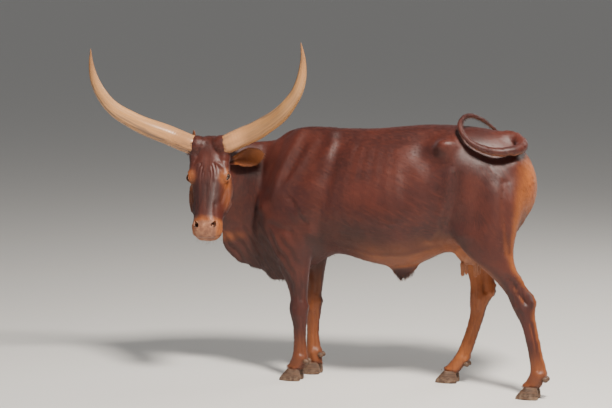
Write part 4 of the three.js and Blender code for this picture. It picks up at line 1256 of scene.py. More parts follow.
def markings(points, normals):
    """Masks of the skin: pale (tan hair, with painted light on the backs of the thighs), dark (painted shade
    on the chest, in the mouth, the nostrils and the lids, and darker hair down the nose bridge and low on the
    legs) and bare (no hair).
    """
    px, py, pz = points.T
    head = in_head(points)
    left, down, before = head.T
    on_head = near(points, head_middle, 0.30, 0.37)
    wobble = 0.5 + 0.25 * np.sin(23 * px + 3 * np.sin(19 * pz)) + 0.25 * np.sin(29 * pz + 2 * np.sin(31 * py))
    inward = -normals[:, 1] * np.sign(py)
    on_legs = (1 - fade(0.60, 1.0, pz)) * fade(-0.3, -0.2, px)
    by_leg = np.where(px < 0.4, 0.5 * (1 - fade(0.45, 0.62, pz)), 1.0)
    pale = 0.80 * fade(0.1, 0.75, inward) * on_legs * by_leg
    # The backs of the thighs are paler where they face the light behind her: painted light.
    buttocks = fade(0.45, 0.95, normals[:, 0]) * fade(1.08, 1.17, px) * (1 - fade(1.1, 1.25, pz))
    pale = np.maximum(pale, 0.60 * buttocks)
    below_tail = fade(1.17, 1.23, px) * (1 - fade(0.07, 0.13, np.abs(py)))
    below_tail = below_tail * fade(0.75, 0.9, pz) * (1 - fade(1.20, 1.27, pz))
    pale = np.maximum(pale, 0.95 * below_tail)
    pale = np.maximum(pale, 0.35 * (1 - fade(0.14, 0.30, pz)) * on_legs)
    pale = np.maximum(pale, 0.50 * fade(0.3, 0.9, -normals[:, 2]) * fade(0.2, 0.5, px) * (1 - on_head))
    pale = np.maximum(pale, 0.8 * near(points, (0.912, 0, 0.68), 0.08, 0.15))
    for side in (-1, 1):
        below_eye = head_point((side * 0.100, 0.232, -0.078))[0]
        pale = np.maximum(pale, (0.42 + 0.30 * wobble) * near(points, eye_middle[side], 0.022, 0.062))
        pale = np.maximum(pale, (0.45 + 0.30 * wobble) * near(points, below_eye, 0.015, 0.075))
        pale = np.maximum(pale, 0.40 * near(points, head_point((side * 0.09, 0.30, -0.12))[0], 0.02, 0.11))
    muzzle_ring = fade(0.398 + 0.022 * wobble, 0.446 + 0.010 * wobble, down) * on_head
    pale = np.maximum(pale, 0.72 * muzzle_ring)
    for name in ears:
        leaf, mine, _ = on_ear(points, name)
        inside = fade(0.0, 0.5, normals @ ear_axes(name)[1][2]) * leaf
        pale = np.maximum(pale, inside * (0.70 + 0.30 * wobble))
        pale = np.maximum(pale, 0.45 * leaf * fade(0.10, 0.16, mine[:, 0]))
    bridge = on_head * (1 - fade(0.030, 0.075, np.abs(left))) * fade(0.20, 0.30, down)
    dark = 0.55 * bridge * (1 - fade(0.36, 0.42, down))
    # Near black low on the chest and brisket: painted shade.
    dark = np.maximum(dark, 0.45 * fade(0.0, -0.2, px) * (1 - fade(0.65, 0.9, pz)) * (1 - on_head))
    dark = np.maximum(dark, 0.45 * (1 - fade(0.08, 0.12, pz)) * wobble)
    dark = dark * (1 - pale)
    # The slit of the mouth is near black: painted shade in the crease.
    mirrored = np.stack([np.abs(left), down, before], axis=1)
    mouth = on_head * np.exp(-(from_line(mirrored, mouth_line) / 0.0038) ** 2) * (down > 0.40)
    dark = np.maximum(dark, 0.9 * mouth)
    # Near black inside the nostrils and round the rims and fold of the lids: painted shade.
    lid_middle = {side: eye_middle[side] + 0.009 * eye_axes[side][2] for side in (-1, 1)}
    for side in (-1, 1):
        hole = head_point(np.array(nostril_place) * (side, 1, 1))[0] - 0.012 * nostril_axes(side)[2]
        dark = np.maximum(dark, near(points, hole, 0.012, 0.017))
        dark = np.maximum(dark, 0.85 * near(points, lid_middle[side], 0.0165, 0.0195))
    from_nose = np.abs(left) + 0.25 * np.clip(-before - 0.02, 0, 1)
    nose_pad = fade(0.440, 0.456, down) * (1 - fade(0.050, 0.070, from_nose))
    nose_pad *= fade(-0.105, -0.085, before)
    from_lip = before + 0.108 - 0.15 * (0.53 - down) * (down < 0.46)
    lip_skin = fade(0.43, 0.45, down) * np.exp(-(from_lip / 0.010) ** 2)
    chin = fade(0.50, 0.52, down) * 0.5
    bare = on_head * np.maximum(np.maximum(nose_pad, 0.8 * lip_skin), chin)
    for side in (-1, 1):
        bare = np.maximum(bare, near(points, lid_middle[side], 0.017, 0.0235))
    bare = np.maximum(bare, 0.7 * near(points, (0.912, 0, 0.66), 0.05, 0.09))
    slit = (1 - fade(0.006, 0.016, np.abs(py))) * fade(1.17, 1.2, px)
    slit = slit * fade(0.98, 1.02, pz) * (1 - fade(1.10, 1.14, pz))
    bare = np.maximum(bare, 0.8 * slit)
    return np.clip(pale, 0, 1), np.clip(dark, 0, 1), np.clip(bare, 0, 1)


skin_normals = normals_of(skin_points, skin_quads)
pale, dark, bare = markings(skin_points, skin_normals)
print("mean of pale, dark and bare:", [round(float(mask.mean()), 3) for mask in (pale, dark, bare)])

# %% [markdown]
# Hair lies from the poll to the muzzle, from the neck back over the flanks and down the legs.
# Each region has one main direction; soft weights blend them, and the part that points into
# the skin is taken off. A long streak in the texture is the same place with that direction
# squeezed to a tenth, so `comb` keeps a squeezed copy of every point.

# %% Lie of the hair
def regions(points):
    """Soft weights of head, neck, trunk, rump and legs, which add up to one."""
    px, py, pz = points.T
    head = near(points, head_middle, 0.30, 0.38)
    legs_share = (1 - fade(0.58, 0.86, pz)) * (1 - head) * fade(-0.2, -0.12, px)
    rest = (1 - head) * (1 - legs_share)
    neck_share = fade(-0.02, -0.20, px) * rest
    rump = fade(0.80, 1.02, px) * (rest - neck_share)
    return np.stack([head, neck_share, rest - neck_share - rump, rump, legs_share], axis=1)


region_ways = np.array([
    head_frame[1], (0.62, 0.42, -0.66), (0.90, 0.0, -0.44), (0.55, 0.0, -0.84), (0.06, 0.0, -1.0)])
region_ways /= np.linalg.norm(region_ways, axis=1)[:, None]


def lie_of_hair(points, normals):
    """The unit direction in which hair lies at each point, along the surface."""
    way = regions(points) @ region_ways
    for name in ears:
        leaf = on_ear(points, name)[0][:, None]
        way = way * (1 - leaf) + leaf * ear_axes(name)[1][0]
    way = way - (way * normals).sum(axis=1)[:, None] * normals
    return way / np.maximum(np.linalg.norm(way, axis=1), 1e-6)[:, None]


def combed(points):
    """Each point with its region's hair direction squeezed to a tenth of its length."""
    weight = regions(points)
    total = np.zeros_like(points)
    for k, way in enumerate(region_ways):
        total += weight[:, k:k + 1] * (points - 0.9 * (points @ way)[:, None] * way)
    return total


print("share of the skin in each region:", np.round(regions(skin_points).mean(axis=0), 2))

# %% [markdown]
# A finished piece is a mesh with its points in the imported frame, smooth faces, and the
# attributes its material will read. Writing an attribute with foreach_set takes one call.

# %% Finished pieces
def finished(name, points, faces, attributes):
    """A visual object at the origin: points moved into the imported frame, attributes by point."""
    mesh = bpy.data.meshes.new(name)
    mesh.from_pydata((points + from_foot).tolist(), [], faces)
    mesh.shade_smooth()
    for key, values in attributes.items():
        values = np.asarray(values, float)
        kind = "FLOAT" if values.ndim == 1 else "FLOAT_VECTOR"
        layer = mesh.attributes.new(key, kind, "POINT")
        layer.data.foreach_set("value" if values.ndim == 1 else "vector", values.ravel())
    thing = bpy.data.objects.new(name, mesh)
    bpy.context.collection.objects.link(thing)
    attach(thing, "root")
    print(name, ":", len(points), "points,", sum(len(face) - 2 for face in faces), "triangles")
    return thing


leg_names = list(legs)
flesh_nodes = ["trunk", "neck", "head", "muzzle", "udder", "ear_left", "ear_right", "tail_root", "tail_bend",
               "tail_end"] + [f"{name}_{part}" for name in leg_names for part in ("upper", "lower")]


skin = finished("skin", skin_points, as_faces(skin_quads), {
    "pale": pale, "dark": dark, "bare": bare, "comb": combed(skin_points)})
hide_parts(*flesh_nodes)

# %% [markdown]
# The eyeball is a sphere with a slight cornea. Its material needs to know how far a point is
# from the line of sight, level and upright, so each point keeps both as `gaze`.

# %% Eyes
def eyeball(side):
    """A ball with a raised cornea towards the outside; gaze holds (u, v) over its radius."""
    down = np.concatenate([np.linspace(0.02, 0.75, 26), np.linspace(0.79, np.pi - 0.05, 26)])
    turn = np.linspace(0, 2 * np.pi, 56, endpoint=False)
    radius = (eye_radius - 0.0006) * (1 + 0.035 * (1 - fade(0.3, 0.75, down)))
    u = np.sin(down)[:, None] * np.cos(turn)
    v = np.sin(down)[:, None] * np.sin(turn)
    w = np.cos(down)[:, None] * np.ones(56)
    rings = np.stack([u, v, w], axis=-1) * radius[:, None, None] @ eye_axes[side] + eye_middle[side]
    points, faces = closed_tube(rings)
    gaze = np.vstack([np.stack([u, v, w], axis=-1).reshape(-1, 3), [[0, 0, 1], [0, 0, -1]]])
    return points, faces, gaze


eyes = []
for side, name in ((1, "left"), (-1, "right")):
    points, faces, gaze = eyeball(side)
    eye = finished(f"eyeball_{name}", points, faces, {"gaze": gaze})
    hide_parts(f"eye_{name}")
    eyes.append(eye)

# %% [markdown]
# Both horns follow one curve, mirrored. Near the skull the horn is ringed and rough; further
# out it is worn smooth, with shallow flutes along it. `grain` keeps the share of the length,
# the angle round it as a cosine and a sine, for streaks that run from root to tip.

# %% Horns
horn_line = [(0.052, 0.053, -0.036), (0.077, 0.046, -0.030), (0.103, 0.038, -0.023),
             (0.187, 0.002, -0.018), (0.278, -0.024, 0.028), (0.366, -0.048, 0.101),
             (0.439, -0.080, 0.176), (0.494, -0.130, 0.239), (0.527, -0.194, 0.290),
             (0.540, -0.269, 0.339), (0.535, -0.341, 0.386)]
horn_stations = [(0.00, 0.0455, 0.0505), (0.15, 0.046, 0.053), (0.40, 0.040, 0.047), (0.60, 0.032, 0.037),
                 (0.78, 0.023, 0.026), (0.92, 0.011, 0.012), (1.00, 0.0025, 0.0025)]


def horn(side):
    """Oval rings square to the horn's curve, with growth rings and flutes worked in."""
    rows, around = 230, 56
    path, heading = curve_through(head_point(*(np.array(horn_line) * (side, 1, 1))), rows)
    flat = np.cross(heading, head_frame[2])
    flat /= np.linalg.norm(flat, axis=1)[:, None]
    deep = np.cross(flat, heading)
    share = np.linspace(0, 1, rows)
    half, rise = smooth_run(horn_stations, share).T
    turn = np.linspace(0, 2 * np.pi, around, endpoint=False)
    ringed = 1 - fade(0.10, 0.34, share)
    uneven = 0.35 * np.sin(2 * turn + 9 * share[:, None]) + 0.25 * np.sin(3 * turn - 5 * share[:, None])
    rings = 0.0005 * ringed[:, None] * np.sin(2 * np.pi * share[:, None] / 0.019 + 2.6 * uneven)
    flutes = 0.0007 * np.sin(7 * turn + 2.0 * share[:, None]) * (1 - fade(0.5, 0.9, share))[:, None]
    broad = 0.0012 * np.sin(26 * share[:, None] + 1.2 * np.sin(turn)) * (1 - fade(0.6, 0.95, share))[:, None]
    reach = rings + flutes + broad - 0.0012
    tip = np.clip((1 - share) / 0.012, 0, 1)[:, None] ** 0.5
    across = (half[:, None] + reach) * np.cos(turn) * tip
    high = (rise[:, None] + reach) * np.sin(turn) * tip
    surface = path[:, None] + across[..., None] * deep[:, None] + high[..., None] * flat[:, None]
    points, faces = closed_tube(surface)
    grain = np.stack([share[:, None] + 0 * turn, np.cos(turn) + 0 * share[:, None],
                      np.sin(turn) + 0 * share[:, None]], axis=-1).reshape(-1, 3)
    return points, faces, np.vstack([grain, [[0, 0, 0], [1, 0, 0]]])


horns = []
for side, name in ((1, "left"), (-1, "right")):
    points, faces, grain = horn(side)
    piece = finished(f"horn_shaft_{name}", points, faces, {"grain": grain})
    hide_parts(f"horn_{name}")
    horns.append(piece)

# %% [markdown]
# A cow walks on two claws to a foot. The wall of a claw leans back from the toe, and fine
# rings run round it, level with the hair line above. Two dewclaws hang behind the fetlock.

# %% Claws and dewclaws
claw_stations = [(0.0, 0.062, 0.056, 0.024), (0.014, 0.057, 0.059, 0.026), (0.040, 0.036, 0.056, 0.0255),
                 (0.0636, 0.014, 0.050, 0.0225)]
cleft = 0.0285


def claw(name, inner):
    """Level rings from the sole to the hair line; a toe that narrows, a rounded heel."""
    z = np.concatenate([[0.0, 0.0012, 0.003], np.linspace(0.005, 0.0645, 44)])
    toe, heel, half = smooth_run(claw_stations, z).T
    foot_x, foot_y = (value[0] for value in leg_sizes(name, np.array([coronet]))[:2])
    turn = np.linspace(0, 2 * np.pi, 44, endpoint=False)
    ahead = np.cos(turn)
    across = np.sign(np.sin(turn)) * np.abs(np.sin(turn)) ** 0.8
    across = across * np.where(ahead > 0, 1 - 0.25 * ahead**2, 1.0)
    worn = 0.0011 * np.sin(2 * np.pi * (z[:, None] + 0.05 * ahead) / 0.0085 + 0.8 * np.sin(3 * turn))
    worn = worn * fade(0.004, 0.012, z)[:, None] - 0.0008
    edge = np.interp(z, [0, 0.0012, 0.003, 0.005], [-0.0026, -0.0010, -0.0004, 0.0])[:, None]
    reach = (np.where(ahead > 0, toe[:, None], heel[:, None]) + worn + edge) * ahead
    side = (half[:, None] + worn + edge) * across
    rings = np.stack([foot_x - 0.034 - reach, foot_y + inner * (cleft + 0.05 * reach) + side,
                      z[:, None] + 0 * turn], axis=-1)
    return closed_tube(rings)


def dewclaw(name, inner):
    """A blunt nub that slants down and back from the fetlock."""
    leg_x, leg_y, _, behind, _, _ = (value[0] for value in leg_sizes(name, np.array([0.112])))
    slant = np.radians(28.0)
    axes = np.array([(np.cos(slant), 0, -np.sin(slant)), (0, 1, 0), (np.sin(slant), 0, np.cos(slant))])
    middle = (leg_x + behind - 0.006, leg_y + inner * 0.021, 0.106)
    return ball(middle, (0.0180, 0.0118, 0.0145), axes, 24, 0.0005)


claws = []
for name in leg_names:
    side = legs[name][0]
    for place, inner in (("outer", side), ("inner", -side)):
        for kind, made in (("claw", claw(name, inner)), ("dewclaw", dewclaw(name, inner))):
            points, faces = made
            grain = np.stack([points[:, 2], points[:, 0] - points[:, 0].mean(), points[:, 1]], axis=1)
            piece = finished(f"{name}_{kind}_horn_{place}", points, faces, {"grain": grain})
            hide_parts(f"{name}_{kind}_{place}")
            claws.append(piece)

# %% [markdown]
# The coat. Short hair lies so flat that a bump does most of the work, but thin tufts break
# the outline everywhere. Each tuft is a closed wedge of ten triangles, with its root in the
# skin and its tip a millimetre or two off it. Tufts are scattered over the skin by area, with
# the number for each square metre, the length and the width all given by place.

# %% Where tufts grow
dice = np.random.default_rng(11)
true_quads = skin_quads[skin_quads[:, 3] != skin_quads[:, 2]]
skin_faces = np.vstack([skin_quads[:, [0, 1, 2]], true_quads[:, [0, 2, 3]]])
print("tufts can grow on", len(skin_faces), "triangles of skin")


def scattered(weight):
    """Random places over the skin: points and normals, `weight` of them for each square metre."""
    a, b, c = (skin_points[skin_faces[:, k]] for k in range(3))
    area = np.linalg.norm(np.cross(b - a, c - a), axis=1) / 2
    share = area * weight[skin_faces].mean(axis=1)
    total = int(share.sum())
    chosen = np.searchsorted(np.cumsum(share), (np.arange(total) + dice.random(total)) * share.sum() / total)
    chosen = np.clip(chosen, 0, len(skin_faces) - 1)
    r, s = np.sqrt(dice.random(total)), dice.random(total)
    mix = np.stack([1 - r, r * (1 - s), r * s], axis=1)[..., None]
    spots = (skin_points[skin_faces[chosen]] * mix).sum(axis=1)
    out = (skin_normals[skin_faces[chosen]] * mix).sum(axis=1)
    return spots, out / np.linalg.norm(out, axis=1)[:, None]


def tuft_sizes(points):
    """Length and width of the hair at each place: small on the face, the ears and the feet."""
    weight = regions(points)
    length = weight @ np.array([0.0085, 0.0170, 0.0160, 0.0160, 0.0120])
    width = weight @ np.array([0.0013, 0.0024, 0.0024, 0.0024, 0.0018])
    feet = 1 - fade(0.10, 0.25, points[:, 2])
    length *= 1 - 0.30 * feet
    width *= 1 - 0.30 * feet
    head = in_head(points)
    poll_hair = (1 - fade(0.05, 0.16, head[:, 1])) * (1 - fade(0.04, 0.08, np.abs(head[:, 0]))) * weight[:, 0]
    length *= 1 + 0.5 * poll_hair
    return length, width


def hair_room(points, normals, bare):
    """1 where hair grows; 0 on bare skin, in the nostrils and under the lids."""
    room = 1 - fade(0.25, 0.6, bare)
    for side in (-1, 1):
        room *= 1 - near(points, eye_middle[side], 0.0275, 0.0305)
        room *= 1 - near(points, head_point(np.array(nostril_place) * (side, 1, 1))[0], 0.018, 0.026)
    room *= fade(coronet - 0.001, coronet + 0.004, points[:, 2])
    return room


def unwrapped(points):
    """A place in the unit square for each point: trunk, head, legs and tail each have a field.

    A field's first axis runs along the part, its second is the angle round it.
    """
    px, py, pz = points.T
    weight = regions(points)
    part = np.argmax(weight, axis=1)
    head = in_head(points)
    turn = np.arctan2(py, pz - 0.95) / (2 * np.pi) + 0.5
    body = np.stack([0.02 + 0.56 * np.clip((px + 0.52) / 1.84, 0, 1), 0.02 + 0.94 * turn], axis=1)
    head_turned = np.arctan2(head[:, 0], head[:, 2] + 0.10) / (2 * np.pi) + 0.5
    down = np.clip((head[:, 1] + 0.08) / 0.64, 0, 1)
    face = np.stack([0.62 + 0.36 * down, 0.02 + 0.36 * head_turned], axis=1)
    place = np.where((part == 0)[:, None], face, body)
    which = leg_of(points)
    height = 0.42 + 0.44 * np.clip(pz / 0.95, 0, 1)
    for number, name in enumerate(leg_names):
        leg_x, leg_y = leg_sizes(name, pz)[:2]
        round_leg = np.arctan2(py - leg_y, px - leg_x) / (2 * np.pi) + 0.5
        field = np.stack([0.62 + 0.09 * number + 0.08 * round_leg, height], axis=1)
        place = np.where(((part == 4) & (which == number))[:, None], field, place)
    return place

# %% [markdown]
# A tuft has seven points: two at the skin and one above them at the root, the same three at
# its middle, and the tip. All of one tuft's points share its root's masks, and its map is a
# patch 0.003 across at the root's place. Custom normals keep the sheen of the skin below.

# %% Tufts
patch = 0.003
tuft_faces = np.array([
    (0, 3, 5, 2), (2, 5, 4, 1), (1, 4, 3, 0), (3, 6, 5, 5), (5, 6, 4, 4), (4, 6, 3, 3), (0, 2, 1, 1)])
tuft_map = np.array([(0, 0), (1, 0), (0.5, 0.1), (0.1, 0.6), (0.9, 0.6), (0.5, 0.6), (0.5, 1)]) * patch


def coat_piece(name, points, faces, roots, owner, uv, normals=None):
    """A finished piece of hair: masks of each point's root, and the map for its corners."""
    root_points, root_normals = roots
    pale, dark, _ = markings(root_points, root_normals)
    comb = combed(root_points)
    piece = finished(name, points, faces, {
        "pale": pale[owner], "dark": dark[owner], "comb": comb[owner]})
    mesh = piece.data
    corners = np.empty(len(mesh.loops), int)
    mesh.loops.foreach_get("vertex_index", corners)
    mesh.uv_layers.new(name="OFBake")
    mesh.uv_layers["OFBake"].data.foreach_set("uv", uv[corners].ravel())
    if normals is not None:
        mesh.normals_split_custom_set_from_vertices(normals.tolist())
    return piece


def tufts(name, spots, out):
    """A piece of short tufts with their roots at `spots`, along the lie of the hair."""
    number = len(spots)
    length, width = tuft_sizes(spots)
    length = (length * (0.7 + 0.6 * dice.random(number)))[:, None]
    width = (width * (0.75 + 0.5 * dice.random(number)))[:, None]
    way = lie_of_hair(spots, out)
    side = np.cross(out, way)
    way = way + side * (0.22 * dice.standard_normal(number))[:, None]
    way /= np.linalg.norm(way, axis=1)[:, None]
    side = np.cross(out, way)
    lift = (0.0011 + 0.0007 * dice.random(number))[:, None] * np.minimum(length / 0.014, 1.3)
    curl = side * (0.12 * length) * dice.standard_normal(number)[:, None]
    middle = spots + 0.5 * length * way
    shape = np.stack([
        spots - 0.35 * width * side - 0.0012 * out,
        spots + 0.35 * width * side - 0.0012 * out,
        spots + 0.00015 * out,
        middle - 0.5 * width * side + (0.55 * lift - 0.0003) * out + 0.2 * curl,
        middle + 0.5 * width * side + (0.55 * lift - 0.0003) * out + 0.2 * curl,
        middle + (0.75 * lift + 0.0002) * out + 0.2 * curl,
        spots + length * way + lift * out + curl,
    ], axis=1)
    to_right, to_left = out - 0.35 * side, out + 0.35 * side
    soft = np.stack([to_right, to_left, out, to_right, to_left, out, out], axis=1)
    soft /= np.linalg.norm(soft, axis=2)[..., None]
    rows = (tuft_faces[None] + 7 * np.arange(number)[:, None, None]).reshape(-1, 4)
    owner = np.repeat(np.arange(number), 7)
    uv = unwrapped(spots)[:, None] + tuft_map
    return coat_piece(name, shape.reshape(-1, 3), as_faces(rows), (spots, out), owner, uv.reshape(-1, 2),
                      soft.reshape(-1, 3))


room = hair_room(skin_points, skin_normals, bare)
weight = regions(skin_points) @ np.array([21000.0, 6500.0, 6000.0, 6000.0, 10500.0]) * room
spots, out = scattered(weight)
order = np.argsort(spots[:, 0] + 3 * (regions(spots)[:, 0] > 0.5))
spots, out = spots[order], out[order]
tufts_per_piece = 19000
hair_pieces = []
for k in range(0, len(spots), tufts_per_piece):
    mine = slice(k, k + tufts_per_piece)
    hair_pieces.append(tufts(f"short_coat_{k // tufts_per_piece + 1}", spots[mine], out[mine]))

# %% [markdown]
# Long hair is made of strands with three sides. A strand follows its own path, tapers to a
# point, and is closed at the root. The same builder makes the switch of the tail, the fringe
# of the ears, the lashes, the whiskers and the feathering under the belly.

# %% Strands
def strands(name, paths, width, out):
    """A piece of strands along `paths` (number, steps, 3), each `width` wide at its thickest."""
    number, steps = paths.shape[:2]
    heading = np.gradient(paths, axis=1)
    heading /= np.maximum(np.linalg.norm(heading, axis=2), 1e-9)[..., None]
    side = np.cross(heading, out[:, None])
    side /= np.maximum(np.linalg.norm(side, axis=2), 1e-9)[..., None]
    up = np.cross(side, heading)
    t = np.linspace(0, 1, steps)
    profile = 0.55 + 0.45 * np.sin(np.pi * np.minimum(t * 1.4, 1.0) * 0.5)
    profile = profile * np.sqrt(np.clip(1 - t**2, 0, 1))
    half = (np.asarray(width).reshape(-1, 1) * 0.5 * profile)[..., None]
    ring = np.stack([paths - half * side, paths + half * side, paths + 0.7 * half * up], axis=2)[:, :-1]
    tips = paths[:, -1:]
    points = np.concatenate([ring.reshape(number, -1, 3), tips], axis=1)
    each = points.shape[1]
    rows = []
    for s in range(steps - 2):
        for a, b in ((0, 2), (2, 1), (1, 0)):
            rows.append((3 * s + a, 3 * s + 3 + a, 3 * s + 3 + b, 3 * s + b))
    last = 3 * (steps - 2)
    rows += [(last, each - 1, last + 2, last + 2), (last + 2, each - 1, last + 1, last + 1),
             (last + 1, each - 1, last, last), (0, 2, 1, 1)]
    rows = (np.array(rows)[None] + each * np.arange(number)[:, None, None]).reshape(-1, 4)
    roots = paths[:, 0]
    across = np.tile([0.0, 1.0, 0.5], steps - 1)
    along = np.repeat(t[:-1], 3)
    strand_map = np.stack([np.append(across, 0.5), np.append(along, 1.0)], axis=1) * patch
    uv = (unwrapped(roots)[:, None] + strand_map).reshape(-1, 2)
    owner = np.repeat(np.arange(number), each)
    piece = coat_piece(name, points.reshape(-1, 3), as_faces(rows), (roots, out), owner, uv)
    return piece


def falling(spots, way, length, sag, steps=5, wave=0.08):
    """Paths that leave `spots` along `way`, sag downwards and wave a little."""
    number = len(spots)
    t = np.linspace(0, 1, steps)[None, :, None]
    length = np.asarray(length).reshape(-1, 1, 1)
    bend = dice.standard_normal((number, 1, 3)) * wave
    return spots[:, None] + length * (way[:, None] * t + bend * t**2 - sag * upward * t**2)


print("short coat:", len(spots), "tufts in", len(hair_pieces), "pieces")

# %% [markdown]
# The switch hangs from the end of the tail. Strands begin all along its upper half, at any
# angle round it, and stay inside the outline of the CAD solid, which gives their spread.

# %% Tail switch
switch_path, _ = curve_through([(1.0285, 0.2325, 1.189), (1.036, 0.244, 1.110), (1.040, 0.252, 1.020),
                                (1.040, 0.256, 0.930), (1.038, 0.256, 0.850)], 200)
switch_spread = [(0.0, 0.0085), (0.25, 0.020), (0.55, 0.026), (0.85, 0.018), (1.0, 0.008)]
number = 620
begins = 0.55 * dice.random(number) ** 1.4 - 0.02
ends = np.clip(begins + 0.38 + 0.22 * dice.random(number), 0.3, 1.0)
at = begins[:, None] + (ends - begins)[:, None] * np.linspace(0, 1, 12)
base = np.stack([np.interp(at, np.linspace(0, 1, 200), switch_path[:, k]) for k in range(3)], axis=-1)
turn = 2 * np.pi * dice.random(number)[:, None] + 0.9 * dice.standard_normal(number)[:, None] * at
spread = smooth_run(switch_spread, at)[..., 0] * np.sqrt(dice.random(number))[:, None]
spread = spread * np.linspace(0.35, 1, 12)
offset = np.stack([spread * np.cos(turn), spread * np.sin(turn), 0 * spread], axis=-1)
outwards = np.stack([np.cos(turn[:, 0]), np.sin(turn[:, 0]), 0 * turn[:, 0]], axis=1)
switch = strands("tail_brush", base + offset, np.full(number, 0.0042), outwards)
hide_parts("tail_switch")
long_hair = [switch]

# %% [markdown]
# Fringes. The ears carry longer hair round the rim and inside the root. The poll has a short
# mop between the horns. Whiskers stand on the chin and lips, lashes on the upper lids, and
# soft hair hangs from the dewlap, the navel flap, the belly and over the tops of the claws.

# %% Fringes, whiskers and lashes
def pick(mask, number):
    """Random places on the part of the skin where `mask` is 1, `number` of them."""
    a, b, c = (skin_points[skin_faces[:, k]] for k in range(3))
    area = (np.linalg.norm(np.cross(b - a, c - a), axis=1) / 2 * mask[skin_faces].min(axis=1)).sum()
    return scattered(mask * (number / max(area, 1e-9)) * 0.9)


paths, widths, outs = [], [], []


def fringe(mask, number, length, way_mix, sag, width, wave=0.12):
    """Adds strands on the masked skin: direction = lie of the hair + way_mix times the normal."""
    spots, out = pick(mask.astype(float), number)
    way = lie_of_hair(spots, out) + way_mix * out
    way /= np.linalg.norm(way, axis=1)[:, None]
    size = length * (0.6 + 0.7 * dice.random(len(spots)))
    paths.append(falling(spots - 0.001 * out, way, size, sag, 5, wave))
    widths.append(np.full(len(spots), width))
    outs.append(out)


head = in_head(skin_points)
px, py, pz = skin_points.T
on_head = np.linalg.norm(skin_points - head_middle, axis=1) < 0.36
for name in ears:
    leaf, mine, across = on_ear(skin_points, name)
    rim = (leaf > 0.5) & (np.abs(across) > 0.82) & (mine[:, 0] > 0.03)
    fringe(rim, 560, 0.015, 0.20, 0.12, 0.0009)
    inner = (leaf > 0.5) & (skin_normals @ ear_axes(name)[1][2] > 0.4) & (mine[:, 0] < 0.11)
    fringe(inner, 300, 0.020, 0.35, 0.05, 0.0008)
poll_top = on_head & (head[:, 1] < 0.075) & (np.abs(head[:, 0]) < 0.052) & (head[:, 2] > -0.085)
fringe(poll_top, 700, 0.013, 0.16, 0.15, 0.0013)
horn_foot = np.zeros(len(skin_points), bool)
for side in (-1, 1):
    far = np.linalg.norm(skin_points - head_point((side * 0.071, 0.045, -0.034))[0], axis=1)
    horn_foot |= (far < 0.064) & on_head
spots, out = pick(horn_foot.astype(float), 900)
left_way = np.sign(in_head(spots)[:, :1]) * head_frame[0]
way = left_way + 0.35 * head_frame[1] + 0.25 * out
way /= np.linalg.norm(way, axis=1)[:, None]
paths.append(falling(spots, way, 0.014 * (0.6 + 0.7 * dice.random(len(spots))), 0.1, 5))
widths.append(np.full(len(spots), 0.0015))
outs.append(out)
chin = on_head & (head[:, 1] > 0.44) & (head[:, 2] < -0.105)
fringe(chin, 170, 0.022, 0.9, 0.25, 0.0005, 0.18)
dewlap = (px < -0.02) & (px > -0.36) & (pz < 0.72) & (np.abs(skin_normals[:, 1]) < 0.75) & ~on_head
fringe(dewlap, 1500, 0.019, 0.10, 0.35, 0.0016)
flap = (px > 0.40) & (px < 0.67) & (pz < 0.61) & (np.abs(py) < 0.05)
fringe(flap, 420, 0.022, 0.10, 0.45, 0.0016)
belly = (px > 0.1) & (px < 0.85) & (skin_normals[:, 2] < -0.75) & (np.abs(py) < 0.12) & (pz < 0.8)
fringe(belly, 900, 0.019, 0.08, 0.25, 0.0016)
haunch = (px > 1.10) & (pz > 0.55) & (pz < 1.1) & (skin_normals[:, 0] > 0.55)
fringe(haunch, 1000, 0.016, 0.16, 0.2, 0.0015)
claw_top = (pz < coronet + 0.013) & (pz > coronet + 0.001) & (np.abs(skin_normals[:, 2]) < 0.8)
fringe(claw_top, 1500, 0.013, 0.22, 0.30, 0.0013)
fetlock = (pz < 0.125) & (pz > 0.085) & (skin_normals[:, 0] > 0.5)
fringe(fetlock, 420, 0.017, 0.25, 0.3, 0.0014)
on_back = (pz > 1.325) & (skin_normals[:, 2] > 0.85) & (px > 0.0) & (px < 1.0) & (np.abs(py) < 0.09)
fringe(on_back, 900, 0.014, 0.14, 0.0, 0.0014)
tail_line, _ = curve_through(tail_path, 300)
tail_far = np.full(len(skin_points), np.inf)
for spot in tail_line[100::6]:
    tail_far = np.minimum(tail_far, np.linalg.norm(skin_points - spot, axis=1))
fringe((tail_far < 0.024) & (pz > 1.20), 1300, 0.016, 0.25, 0.25, 0.0013)
for side in (-1, 1):
    angle = np.linspace(0.35, np.pi - 0.35, 34)
    rim = almond(angle, 1.03, 0.0247) @ eye_axes[side] + eye_middle[side]
    away = (rim - eye_middle[side]) / 0.0247
    way = away + 0.55 * eye_axes[side][1] * np.sin(angle)[:, None]
    way = way + 0.2 * eye_axes[side][0] * np.cos(angle)[:, None]
    way /= np.linalg.norm(way, axis=1)[:, None]
    paths.append(falling(rim, way, 0.0105 * (0.8 + 0.4 * dice.random(len(rim))), 0.35, 5, 0.05))
    widths.append(np.full(len(rim), 0.0006))
    outs.append(away)
paths, widths, outs = np.vstack(paths), np.concatenate(widths), np.vstack(outs)
fore_part = paths[:, 0, 0] < 0.05
for name, chosen in (("fringes_front", fore_part), ("fringes_back", ~fore_part)):
    long_hair.append(strands(name, paths[chosen], widths[chosen], outs[chosen]))
hair_pieces += long_hair

# %% [markdown]
# Materials. Anything used by more than one of them is a node group, which gives out only
# values, masks and normals. The shader itself stays in each material.

# %% Helpers for nodes
def new_material(name, roughness, specular=0.5):
    """An empty Principled material with its roughness and specular level set on the shader."""
    material = bpy.data.materials.new(name)
    material.use_nodes = True
    shader = material.node_tree.nodes["Principled BSDF"]
    shader.inputs["Roughness"].default_value = roughness
    shader.inputs["Specular IOR Level"].default_value = specular
    return material, material.node_tree, shader


